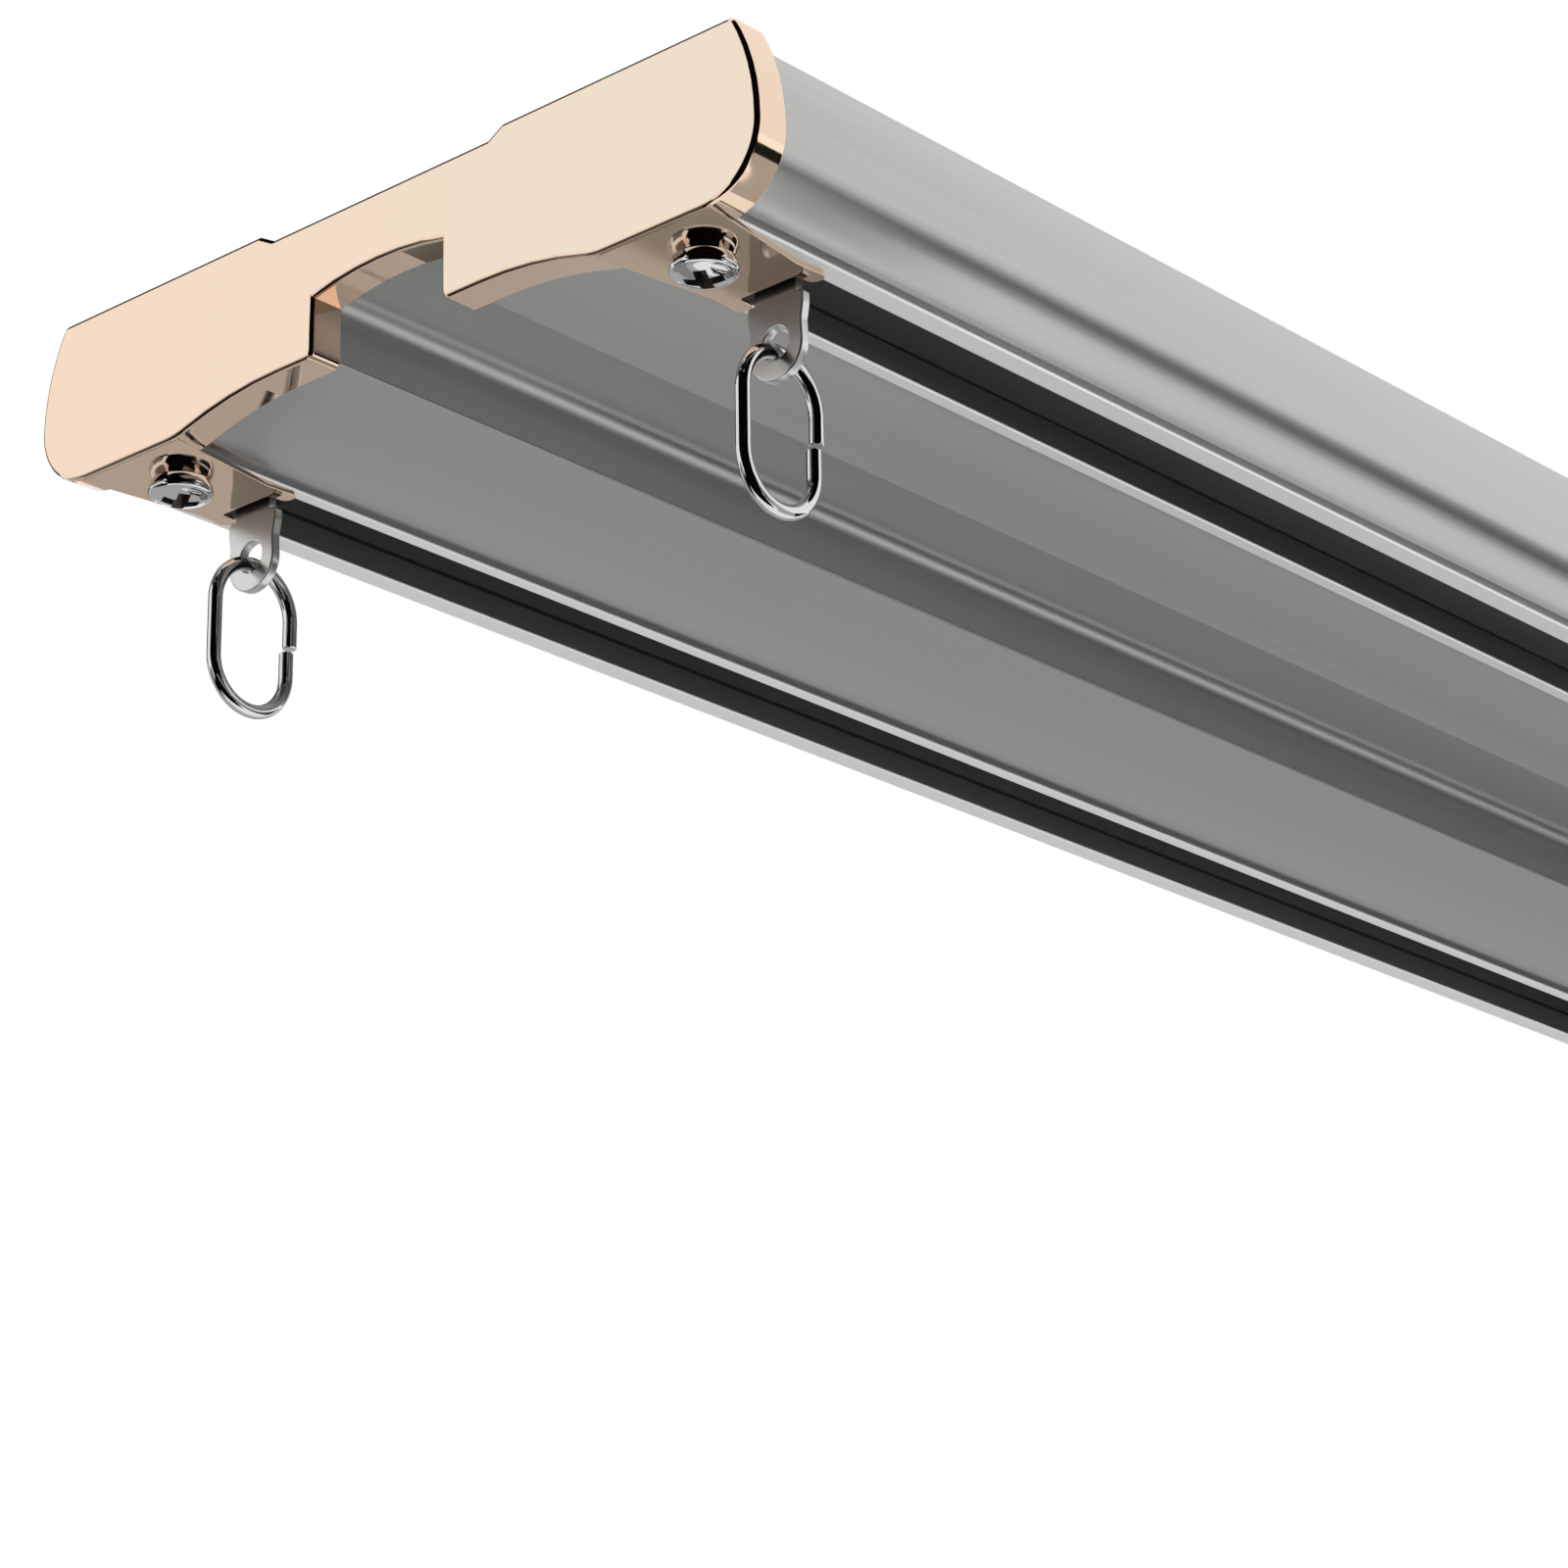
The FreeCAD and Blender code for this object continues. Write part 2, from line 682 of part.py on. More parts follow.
def make_cap_screw(label, x, y):
    """A pan-head screw with a cross recess, head down."""
    head = size("head_radius")
    seat = lip_base - size("tongue_thick")
    crown = seat - size("head_height")
    tip = ledge + size("clamp_thick") + size("screw_end")
    shank = size("screw_radius")
    body = new_body(label)
    sketch = new_sketch(body, f"{label}_section", "XZ_Plane")
    corners = [
        (ZERO, crown), (head, crown), (head, seat), (shank, seat), (shank, tip), (ZERO, tip),
    ]
    draw_path(sketch, [(across, up, None) for across, up in corners])
    revolve(body, f"{label}_turn", sketch, "V_Axis")
    sketch = new_sketch(body, f"{label}_cross", "XY_Plane", crown)
    arm = size("drive_width") / 2
    span = size("drive_span") / 2
    cross = [
        (span, -arm), (span, arm), (arm, arm), (arm, span), (-arm, span), (-arm, arm),
        (-span, arm), (-span, -arm), (-arm, -arm), (-arm, -span), (arm, -span), (arm, -arm),
    ]
    draw_path(sketch, [(across, up, None) for across, up in cross])
    feature(body, "Pocket", f"{label}_drive", sketch, size("drive_depth"), backwards=True)
    place(body, x, y)
    return body


def make_clamp_plate(label, x, y):
    """The plate that the cap screw draws down on to the ledges, keyed into the slot."""
    near = size("clamp_near") - size("screw_place")
    far = near + size("clamp_length")
    half = size("clamp_half")
    key = half_slot - size("key_fit")
    body = new_body(label)
    sketch = new_sketch(body, f"{label}_plan", "XY_Plane", ledge)
    draw_rectangle(sketch, near, -half, far, half)
    feature(body, "Pad", f"{label}_plate", sketch, size("clamp_thick"))
    sketch = new_sketch(body, f"{label}_key_plan", "XY_Plane", ledge)
    draw_rectangle(sketch, near, -key, far, key)
    feature(body, "Pad", f"{label}_key", sketch, size("clamp_key"), backwards=True)
    sketch = new_sketch(body, f"{label}_hole_plan", "XY_Plane", ledge - size("clamp_key"))
    draw_circle(sketch, ZERO, ZERO, size("screw_radius") + size("thread_fit"))
    depth = size("clamp_thick") + size("clamp_key")
    feature(body, "Pocket", f"{label}_hole", sketch, depth, backwards=True)
    return body


def make_cap_fixings(end, turn):
    """The two screws and the two clamp plates of one cap."""
    way = -1 if turn == 0 else 1
    x = (cap_face - size("screw_place")) * way
    screws = []
    plates = []
    for name, side in CHANNELS:
        y = slot_offset * side
        screws.append(make_cap_screw(f"{end}_{name}_screw", x, y))
        plate = make_clamp_plate(f"{end}_{name}_plate", x, y)
        place(plate, x, y, turn)
        plates.append(plate)
    return group(f"{end}_cap_screws", screws), group(f"{end}_clamp_plates", plates)


# Ceiling clips


def make_clip_plate(label, x):
    """Plate against the ceiling with a screw hole and a fixed hook under the front flange."""
    half = size("clip_half")
    middle = size("clip_length") / 2
    hook_top = flange_under - size("hook_fit")
    stem = size("flange_gap") - size("hook_fit")
    body = new_body(label)
    sketch = new_sketch(body, f"{label}_plan", "XY_Plane", flange_top)
    draw_rectangle(sketch, -middle, -half, middle, half)
    feature(body, "Pad", f"{label}_plate", sketch, -flange_top)
    sketch = new_sketch(body, f"{label}_hook_side", "YZ_Plane", -(size("hook_width") / 2))
    hook = [
        (-stem, flange_top, None),
        (-stem, hook_top, None),
        (-(stem + size("hook_reach")), hook_top, None),
        (-(stem + size("hook_reach")), hook_top - size("hook_thick"), None),
        (size("hook_thick") - stem, hook_top - size("hook_thick"), None),
        (size("hook_thick") - stem, flange_top, None),
    ]
    draw_path(sketch, hook)
    feature(body, "Pad", f"{label}_hook", sketch, size("hook_width"))
    sketch = new_sketch(body, f"{label}_hole_plan", "XY_Plane", flange_top)
    draw_circle(sketch, ZERO, ZERO, size("ceiling_hole"))
    draw_circle(sketch, ZERO, size("lever_place"), size("rivet_radius"))
    feature(body, "Pocket", f"{label}_holes", sketch, -flange_top, backwards=True)
    place(body, x)
    return body


def make_clip_lever(label, x):
    """The turning lever that locks under the rear flange."""
    half = size("lever_half")
    cut = size("lever_cut")
    pivot = size("lever_place")
    tip = pivot + size("lever_reach")
    tail = pivot - size("lever_tail")
    level = flange_under - size("hook_fit") - size("hook_thick")
    body = new_body(label)
    sketch = new_sketch(body, f"{label}_plan", "XY_Plane", level)
    loop = [
        (half, tail + cut), (half, tip - cut), (half - cut, tip), (cut - half, tip),
        (-half, tip - cut), (-half, tail + cut), (cut - half, tail), (half - cut, tail),
    ]
    draw_path(sketch, [(across, up, None) for across, up in loop])
    draw_circle(sketch, ZERO, pivot, size("rivet_radius") + size("pivot_fit"))
    feature(body, "Pad", f"{label}_plate", sketch, size("hook_thick"))
    place(body, x)
    return body


def make_clip_rivet(label, x):
    """The rivet that the lever turns on, flush with the plate's top."""
    head = size("rivet_head")
    shank = size("rivet_radius")
    under = flange_under - size("hook_fit") * 2 - size("hook_thick")
    pivot = size("lever_place")
    body = new_body(label)
    for name, radius, start, end in (
        ("head", head, under - size("rivet_cap"), under),
        ("shank", shank, under, ZERO),
    ):
        sketch = new_sketch(body, f"{label}_{name}_plan", "XY_Plane", start)
        draw_circle(sketch, ZERO, pivot, radius)
        feature(body, "Pad", f"{label}_{name}", sketch, end - start)
    place(body, x)
    return body


# Runners


def make_carrier(label, x, y):
    """The runner's block: a body between the wheels and four feet that keep it level."""
    foot_base = liner_top + size("foot_gap")
    foot_top = foot_base + size("foot_height")
    half = size("carrier_half")
    end = size("foot_half")
    reach = size("foot_reach")
    step = end - size("foot_length")
    body = new_body(label)
    sketch = new_sketch(body, f"{label}_plan", "XY_Plane", foot_base)
    quarter = [(end, reach), (step, reach), (step, half)]
    plan = [(across, -up) for across, up in reversed(quarter)]
    plan += quarter
    plan += [(-across, up) for across, up in reversed(quarter)]
    plan += [(-across, -up) for across, up in quarter]
    draw_path(sketch, [(across, up, None) for across, up in plan])
    feature(body, "Pad", f"{label}_base", sketch, size("foot_height"))
    sketch = new_sketch(body, f"{label}_block_plan", "XY_Plane", foot_top)
    draw_rectangle(sketch, -size("carrier_top_half"), -half, size("carrier_top_half"), half)
    top = axle_level + size("carrier_top")
    feature(body, "Pad", f"{label}_block", sketch, top - foot_top)
    sketch = new_sketch(body, f"{label}_axle_side", "XZ_Plane")
    draw_circle(sketch, ZERO, axle_level, size("axle_radius") + size("axle_fit"))
    feature(body, "Pocket", f"{label}_axle_hole", sketch, half * 2, side="Symmetric")
    sketch = new_sketch(body, f"{label}_tab_side", "YZ_Plane")
    fit = size("tab_fit")
    draw_path(sketch, tab_head_outline(fit, foot_base))
    thickness = size("tab_thick") + fit * 2
    feature(body, "Pocket", f"{label}_tab_slot", sketch, thickness, side="Symmetric")
    place(body, x, y)
    return body


def tab_head_outline(fit, bottom):
    """The tab's T-shaped head and neck with a gap round them, down to a level."""
    head_top = axle_level - size("axle_radius") - size("tab_grip") + fit
    head_base = axle_level - size("axle_radius") - size("tab_grip") - size("tab_head_height") - fit
    head = size("tab_head") + fit
    neck = size("tab_neck") + fit
    return [
        (neck, bottom, None),
        (neck, head_base, None),
        (head, head_base, None),
        (head, head_top, None),
        (-head, head_top, None),
        (-head, head_base, None),
        (-neck, head_base, None),
        (-neck, bottom, None),
    ]


def eye_level():
    """Height of the tab's eye."""
    return lip_base - size("tab_drop") + size("hole_margin") + size("tab_hole")


def make_tab(label, x, y):
    """The pressed hanger tab: T head, neck through the slot, shoulders, waist and round eye."""
    bottom = lip_base - size("tab_drop")
    eye = size("tab_eye")
    shoulder = size("tab_shoulder")
    shoulder_level = lip_base - size("shoulder_drop")
    round_level = bottom + eye
    cut = size("shoulder_cut")
    side_end = shoulder_level - cut - size("shoulder_side")
    head = tab_head_outline(ZERO, shoulder_level)
    left = [
        (cut - shoulder, shoulder_level, None),
        (-shoulder, shoulder_level - cut, None),
        (-shoulder, side_end, None),
        (-eye, round_level, (eye, -1)),
        (ZERO, bottom, (eye, -1)),
    ]
    right = [
        (eye, round_level, None),
        (shoulder, side_end, None),
        (shoulder, shoulder_level - cut, None),
        (shoulder - cut, shoulder_level, None),
    ]
    body = new_body(label)
    sketch = new_sketch(body, f"{label}_side", "YZ_Plane")
    draw_path(sketch, head + left + right)
    draw_circle(sketch, ZERO, eye_level(), size("tab_hole"))
    feature(body, "Pad", f"{label}_plate", sketch, size("tab_thick"), side="Symmetric")
    place(body, x, y)
    return body


def flats_round(across, up, radius, count, first=0.0, turn=2 * math.pi):
    """Corners of equal flats that touch a circle, or an arc of it, from outside."""
    step = turn / count
    reach = radius / math.cos(step / 2)
    angles = [first + step * (n + 0.5) for n in range(count)]
    return [
        (across + reach * math.cos(angle), up + reach * math.sin(angle), None)
        for angle in angles
    ]


def make_wheelset(label, x, y):
    """Two wheels pressed on the axle that turns in the block."""
    inner = size("wheel_inner")
    outer = inner + size("wheel_width")
    body = new_body(label)
    axle = new_sketch(body, f"{label}_axle_end", "XZ_Plane", -inner)
    draw_circle(axle, ZERO, axle_level, size("axle_radius"))
    feature(body, "Pad", f"{label}_axle", axle, inner * 2)
    for way, level in (("room", inner), ("window", -outer)):
        tread = new_sketch(body, f"{label}_{way}_side", "XZ_Plane", level)
        draw_path(tread, flats_round(ZERO, axle_level, size("wheel_radius"), WHEEL_FLATS))
        feature(body, "Pad", f"{label}_{way}_wheel", tread, size("wheel_width"))
    place(body, x, y)
    return body


def make_ring(label, x, y):
    """The split ring: wire bent to a long oval, its ends set off from each other."""
    wire = size("ring_wire")
    top_bend = size("ring_width") / 2 - wire
    bottom_bend = top_bend - size("ring_step") / 2
    wire_top = eye_level() - size("tab_hole") + size("ring_seat") + wire
    wire_bottom = wire_top - size("ring_height") + wire * 2
    upper = wire_top - top_bend
    lower = wire_bottom + bottom_bend
    split = (upper + lower) / 2
    low_middle = -(size("ring_step") / 2)
    body = new_body(label)
    spine = new_sketch(body, f"{label}_centreline", "XZ_Plane")
    path = [(top_bend, split + size("ring_gap") / 2, None)]
    path += flats_round(ZERO, upper, top_bend, BEND_CHORDS, turn=math.pi)
    path += flats_round(low_middle, lower, bottom_bend, BEND_CHORDS, math.pi, math.pi)
    path.append((top_bend - size("ring_step"), split - size("ring_gap") / 2, None))
    draw_path(spine, path, closed=False)
    profile = new_sketch(body, f"{label}_wire", "XY_Plane", split + size("ring_gap") / 2)
    draw_path(profile, flats_round(top_bend, ZERO, wire, WIRE_FLATS))
    doc.recompute()
    pipe = body.newObject("PartDesign::AdditivePipe", f"{label}_bend")
    pipe.Profile = profile
    pipe.Spine = (spine, [f"Edge{n}" for n in range(1, len(path))])
    pipe.Transition = "Right corner"
    place(body, x, y)
    return body


def make_runner(channel, side, number):
    """One runner with its block, wheelset, tab and ring; the outermost are parked at the caps."""
    name = f"{channel}_{number}"
    share = 2 * (number - 1) / (RUNNERS_PER_CHANNEL - 1) - 1
    x = (cap_face - size("park_place")) * share
    y = slot_offset * side
    return [
        make_carrier(f"{name}_block", x, y),
        make_wheelset(f"{name}_wheelset", x, y),
        make_tab(f"{name}_tab", x, y),
        make_ring(f"{name}_ring", x, y),
    ]


def make_track():
    """Every node of the track."""
    nodes = [make_rail()]
    for channel, side in CHANNELS:
        strips = [
            make_liner(f"{channel}_inner_strip", side, True),
            make_liner(f"{channel}_outer_strip", side, False),
        ]
        nodes.append(group(f"{channel}_running_strips", strips))
    for end, turn in (("near", 0), ("far", 180)):
        nodes.append(make_cap(f"{end}_end_cap", turn))
        nodes += make_cap_fixings(end, turn)
    for end, way in (("near", -1), ("far", 1)):
        x = size("clip_spacing") / 2 * way
        nodes.append(make_clip_plate(f"{end}_clip_plate", x))
        nodes.append(make_clip_lever(f"{end}_clip_lever", x))
        nodes.append(make_clip_rivet(f"{end}_clip_rivet", x))
    for channel, side in CHANNELS:
        for number in range(1, RUNNERS_PER_CHANNEL + 1):
            nodes += make_runner(channel, side, number)
    return nodes


def check(nodes):
    """Stop on any failed object or bad solid."""
    for item in doc.Objects:
        if {"Invalid", "Error"} & set(item.State):
            raise RuntimeError(f"{item.Label} failed: {item.State}")
    for node in nodes:
        if node.Shape.isNull() or not node.Shape.isValid() or not node.Shape.Solids:
            raise RuntimeError(f"{node.Label} has no valid solid")


track = make_track()
doc.recompute()
check(track)
os.makedirs("parts", exist_ok=True)
for node in track:
    node.Shape.exportStep(f"parts/{node.Label}.step")
print(f"{len(track)} nodes, {sum(len(node.Shape.Solids) for node in track)} solids")
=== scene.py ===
"""Finish of a double curtain track: extruded rail, plated end caps, runners and ceiling clips."""
import math

import bmesh
import bpy
from mathutils import Matrix, Vector


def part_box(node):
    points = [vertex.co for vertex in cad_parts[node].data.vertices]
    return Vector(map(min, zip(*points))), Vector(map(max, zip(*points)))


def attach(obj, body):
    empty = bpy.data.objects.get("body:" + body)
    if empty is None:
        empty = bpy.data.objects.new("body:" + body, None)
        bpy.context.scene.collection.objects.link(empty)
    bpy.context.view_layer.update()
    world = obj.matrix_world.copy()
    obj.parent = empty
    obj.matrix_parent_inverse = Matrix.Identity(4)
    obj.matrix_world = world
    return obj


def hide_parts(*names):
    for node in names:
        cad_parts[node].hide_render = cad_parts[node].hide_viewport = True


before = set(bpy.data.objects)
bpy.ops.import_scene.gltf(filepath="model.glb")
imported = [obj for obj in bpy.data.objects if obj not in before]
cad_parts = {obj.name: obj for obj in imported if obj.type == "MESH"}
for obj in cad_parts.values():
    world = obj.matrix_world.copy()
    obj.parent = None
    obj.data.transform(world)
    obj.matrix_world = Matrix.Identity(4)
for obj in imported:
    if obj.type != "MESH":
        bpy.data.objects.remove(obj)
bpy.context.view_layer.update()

bl_info = {
    "name": "Double curtain track",
    "version": (1, 0, 0),
    "blender": (4, 5, 0),
    "location": "View3D > Sidebar > Curtain track",
    "description": "Dresses the double curtain track: rail, end caps, runners and clips",
    "category": "Object",
}

MM = 0.001
ARC_STEP = math.radians(5)
EDGE_STEPS = 4
SHARP_ANGLE = math.radians(25)
ENDS = ("near", "far")
CHANNELS = ("front", "rear")
RUNNERS = [f"{channel}_{number}" for channel in CHANNELS for number in (1, 2, 3)]

# The section in millimetres: across from the middle of the track, and up from the ceiling
HALF_WIDTH = 58.3
SIDE_RADIUS = 26.0
BASE_RADIUS = 7.0
BOW_CENTRE = HALF_WIDTH - SIDE_RADIUS
BASE_CENTRE = HALF_WIDTH - BASE_RADIUS
RAIL_TOP = -1.7
RAIL_BASE = -20.7
LIP_BASE = -21.6
LEDGE = -18.2
ROOF = -3.0
FLANGE_TOP = -3.0
FLANGE_UNDER = -4.3
BOW_LEVEL = RAIL_BASE + BASE_RADIUS
WEB_TOP = -7.65
WEB_UNDER = -8.95
SPRINGING = -10.2
SLOT_OFFSET = 43.55
SLOT_INNER = 38.5
SLOT_OUTER = 48.6
WING_START = 36.5
LIP_OUTER = 51.7
CHANNEL_WALL = 32.8
WING_KNEE = 17.0
WING_RISE = 2.8
ROLL_RADIUS = 10.6
RECESS_HALF = 12.2
RAMP_FOOT = 18.1
RAMP_TOP = 20.5
CLIP_CHANNEL = 18.0
FLANGE_GAP = 11.0
WALL = 1.3
GROOVE_WIDTH = 0.5
GROOVE_DEPTH = 0.12
CHAMBER_SLOPE = 2.0
WING_REACH = WING_START - WING_KNEE
TOP_ROUND = 1.0
WING_EDGE_ROUND = 0.4
ARCH_FOOT_ROUND = 3.5
SOCKET_ROUND = 2.4
LIP_ROUND = 0.25
BEND_SUM = (WING_REACH ** 2 + WING_RISE ** 2) / (2 * WING_RISE)

# Along the rail
RAIL_END = 400.0
CAP_FACE = 401.9
FACE_WALL = 1.8
CAP_DEPTH = 4.7
CAP_OFFSET = 1.4
CAP_FIT = 0.1
SCREW_PLACE = 8.8
TONGUE_BASE = -22.15
TONGUE_ROOT = 0.5
TONGUE_HALF = 8.8
TONGUE_WAIST = 6.5
TONGUE_FLARE = 6.9
TONGUE_NOTCH = 4.3
TONGUE_WAIST_PLACE = 17.0
TONGUE_END = 19.2
TONGUE_LENGTH = 22.0
SCREW_HOLE = 2.1
TONGUE_CORNER = 1.1
NOTCH_CORNER = 0.5
TONGUE_EDGE = 0.12

# A plate's X, Y and Z become the track's Y, Z and X
UPRIGHT = Matrix(((0, 0, 1, 0), (1, 0, 0, 0), (0, 1, 0, 0), (0, 0, 0, 1)))


# Outlines


def chord(radius, rise):
    """Half chord of a circle at a distance from its centre."""
    return math.sqrt(radius * radius - rise * rise)


def arc(here, there, radius, side):
    """Points of an arc after its start and before its end; side 1 bulges left of travel."""
    run = there - here
    left = Vector((-run.y, run.x)).normalized() * side
    half = run.length / 2
    rise = radius - math.sqrt(max(radius ** 2 - half ** 2, 0))
    centre = (here + there) / 2 + left * (rise - radius)
    sweep = 2 * math.asin(min(half / radius, 1))
    steps = max(2, math.ceil(sweep / ARC_STEP))
    start = here - centre
    points = []
    for n in range(1, steps):
        turn = -side * sweep * n / steps
        points.append(centre + Matrix.Rotation(turn, 2) @ start)
    return points


def trace(corners):
    """A closed outline from corners (across, up, bend); a bend is None or (radius, side)."""
    points = []
    for n, (across, up, bend) in enumerate(corners):
        here = Vector((across, up))
        points.append(here)
        if bend is not None:
            after = corners[(n + 1) % len(corners)]
            points += arc(here, Vector(after[:2]), *bend)
    return points


def walk(points, start, direction, distance):
    """Go along a closed outline by a distance: the point reached and the corners passed."""
    passed = [start]
    index = start
    while True:
        following = (index + direction) % len(points)
        run = points[following] - points[index]
        if run.length >= distance:
            return points[index] + run.normalized() * distance, passed
        distance -= run.length
        index = following
        passed.append(index)


def soften(points, spot, radius, steps=6):
    """Round the corner of a closed outline that lies at a spot."""
    spot = Vector(spot)
    index = min(range(len(points)), key=lambda n: (points[n] - spot).length)
    corner = points[index]
    before = (corner - points[index - 1]).normalized()
    after = (points[(index + 1) % len(points)] - corner).normalized()
    turn = before.angle(after)
    reach = radius * math.tan(turn / 2)
    first, passed_back = walk(points, index, -1, reach)
    last, passed_on = walk(points, index, 1, reach)
    weight = math.cos(turn / 2)
    bend = []
    for n in range(steps + 1):
        t = n / steps
        a, b, c = (1 - t) ** 2, 2 * t * (1 - t) * weight, t ** 2
        bend.append((first * a + corner * b + last * c) / (a + b + c))
    gone = set(passed_back) | set(passed_on)
    order = [(index + n) % len(points) for n in range(len(points))]
    kept = [points[n] for n in order if n not in gone]
    return bend + kept


def inset(points, distance):
    """A closed outline moved to its inner side, for one that runs anticlockwise."""
    moved = []
    for n, here in enumerate(points):
        before = (here - points[n - 1]).normalized()
        after = (points[(n + 1) % len(points)] - here).normalized()
        normal = Vector((-before.y - after.y, before.x + after.x)).normalized()
        lean = max(normal.dot(Vector((-after.y, after.x))), 0.3)
        moved.append(here + normal * distance / lean)
    return moved


def anticlockwise(points):
    """The same outline, running anticlockwise."""
    area = sum(
        points[n - 1].x * points[n].y - points[n].x * points[n - 1].y
        for n in range(len(points))
    )
    return points if area > 0 else points[::-1]


def both_halves(half):
    """A half outline at +Y joined to its mirror image at -Y."""
    bends = [corner[2] for corner in half]
    mirrored = []
    for n in reversed(range(len(half))):
        mirrored.append((-half[n][0], half[n][1], bends[n - 1] if n else None))
    return half + mirrored


def mirror(points):
    """An outline's mirror image, running the same way round."""
    return [Vector((-p.x, p.y)) for p in reversed(points)]


def bend_meeting(offset):
    """Where the wing's two bends meet, at a distance outside the rail's skin."""
    share = (ROLL_RADIUS + offset) / BEND_SUM
    up = RAIL_BASE + ROLL_RADIUS - share * (BEND_SUM - WING_RISE)
    return WING_START - share * WING_REACH, up


def arch_radius(offset):
    """Radius of the web's arch at a distance outside the rail's skin."""
    half = RECESS_HALF - offset
    rise = WEB_UNDER - SPRINGING
    return (half * half + rise * rise) / (2 * rise)


def top_and_side(offset):
    """The top recess, the top and the bowed side of the section."""
    top = RAIL_TOP + offset
    side = SIDE_RADIUS + offset
    return [
        (RAMP_FOOT, FLANGE_TOP + offset, None),
        (RAMP_TOP, top, None),
        (BOW_CENTRE + chord(side, top - BOW_LEVEL), top, (side, 1)),
        (HALF_WIDTH + offset, BOW_LEVEL, (BASE_RADIUS + offset, 1)),
    ]


def wing_and_arch(offset):
    """The wing's second bend, its flat, its inner wall and the arch of the web."""
    across, up = bend_meeting(offset)
    flat = RAIL_BASE + WING_RISE - offset
    inner = RECESS_HALF - offset
    return [
        (across, up, (BEND_SUM - ROLL_RADIUS - offset, -1)),
        (WING_KNEE, flat, None),
        (inner, flat, None),
        (inner, SPRINGING - offset, (arch_radius(offset), -1)),
    ]


def soften_pairs(points, corner, radius, steps=6):
    """Round a corner and its mirror image."""
    for side in (-1, 1):
        points = soften(points, (side * corner[0], corner[1]), radius, steps)
    return points


def cap_outline(offset, rounding):
    """The end cap seen from its face, at a distance outside the rail's skin."""
    base = RAIL_BASE - offset
    underside = [
        (BASE_CENTRE, base, None),
        (WING_START, base, (ROLL_RADIUS + offset, 1)),
    ]
    half = top_and_side(offset) + underside + wing_and_arch(offset)
    top_corner, wing_edge = half[2], half[8]
    points = trace(both_halves(half))
    points = soften_pairs(points, top_corner, rounding)
    return anticlockwise(soften_pairs(points, wing_edge, rounding))


def socket_outline():
    """The rail's outline with the cap's fit round it, opened down to the lips."""
    fit = CAP_FIT
    roll = BASE_RADIUS + fit
    bend = ROLL_RADIUS + fit
    outer = LIP_OUTER + fit
    inner = WING_START - fit
    underside = [
        (outer, BOW_LEVEL - chord(roll, outer - BASE_CENTRE), None),
        (outer, LIP_BASE, None),
        (inner, LIP_BASE, None),
        (inner, RAIL_BASE + ROLL_RADIUS - chord(bend, fit), (bend, 1)),
    ]
    half = top_and_side(fit) + underside + wing_and_arch(fit)
    arch_foot = half[-1]
    points = trace(both_halves(half))
    return anticlockwise(soften_pairs(points, arch_foot, SOCKET_ROUND))


def rail_outline():
    """The rail's skin, in and out of both runner channels and the top channel."""
    groove_edge = LIP_OUTER + GROOVE_WIDTH
    groove_top = RAIL_BASE + GROOVE_DEPTH
    inner_roll = BASE_RADIUS - WALL
    inner_side = SIDE_RADIUS - WALL
    half = [
        (CLIP_CHANNEL, WEB_TOP, None),
        (CLIP_CHANNEL, FLANGE_UNDER, None),
        (FLANGE_GAP, FLANGE_UNDER, None),
        (FLANGE_GAP, FLANGE_TOP, None),
    ]
    half += top_and_side(0)
    half += [
        (groove_edge, BOW_LEVEL - chord(BASE_RADIUS, groove_edge - BASE_CENTRE), None),
        (groove_edge, groove_top, None),
        (LIP_OUTER, groove_top, None),
        (LIP_OUTER, LIP_BASE, None),
        (SLOT_OUTER, LIP_BASE, None),
        (SLOT_OUTER, LEDGE, None),
        (BASE_CENTRE + chord(inner_roll, LEDGE - BOW_LEVEL), LEDGE, (inner_roll, -1)),
        (HALF_WIDTH - WALL, BOW_LEVEL, (inner_side, -1)),
        (BOW_CENTRE + chord(inner_side, ROOF - BOW_LEVEL), ROOF, None),
        (CHANNEL_WALL, ROOF, None),
        (CHANNEL_WALL, LEDGE, None),
        (SLOT_INNER, LEDGE, None),
        (SLOT_INNER, LIP_BASE, None),
        (WING_START, LIP_BASE, None),
        (WING_START, RAIL_BASE, (ROLL_RADIUS, 1)),
    ]
    half += wing_and_arch(0)
    top_corner = half[6]
    outer_lip, inner_lip = half[11:13], half[20:22]
    wing_edge, arch_foot = half[-2:]
    points = trace(both_halves(half))
    points = soften_pairs(points, top_corner, TOP_ROUND)
    points = soften_pairs(points, wing_edge, WING_EDGE_ROUND)
    # The arch's foot carries a soft streak of light, so its round has the most steps
    points = soften_pairs(points, arch_foot, ARCH_FOOT_ROUND, 18)
    for corner in outer_lip + inner_lip:
        points = soften_pairs(points, corner, LIP_ROUND)
    return anticlockwise(points)


def chamber_outline():
    """The closed hollow of the wing at +Y."""
    outer = CHANNEL_WALL - WALL
    inner = RECESS_HALF + WALL
    step = CLIP_CHANNEL + WALL
    floor = RAIL_BASE + WING_RISE + WALL
    bend = BEND_SUM - ROLL_RADIUS + WALL
    edge = floor - bend + chord(bend, outer - WING_KNEE)
    corners = [
        (inner, floor, None),
        (inner, WEB_UNDER, None),
        (step, WEB_UNDER, None),
        (step, FLANGE_UNDER, None),
        (step + CHAMBER_SLOPE, ROOF, None),
        (outer, ROOF, None),
        (outer, edge, (bend, -1)),
        (WING_KNEE, floor, None),
    ]
    return anticlockwise(trace(corners))


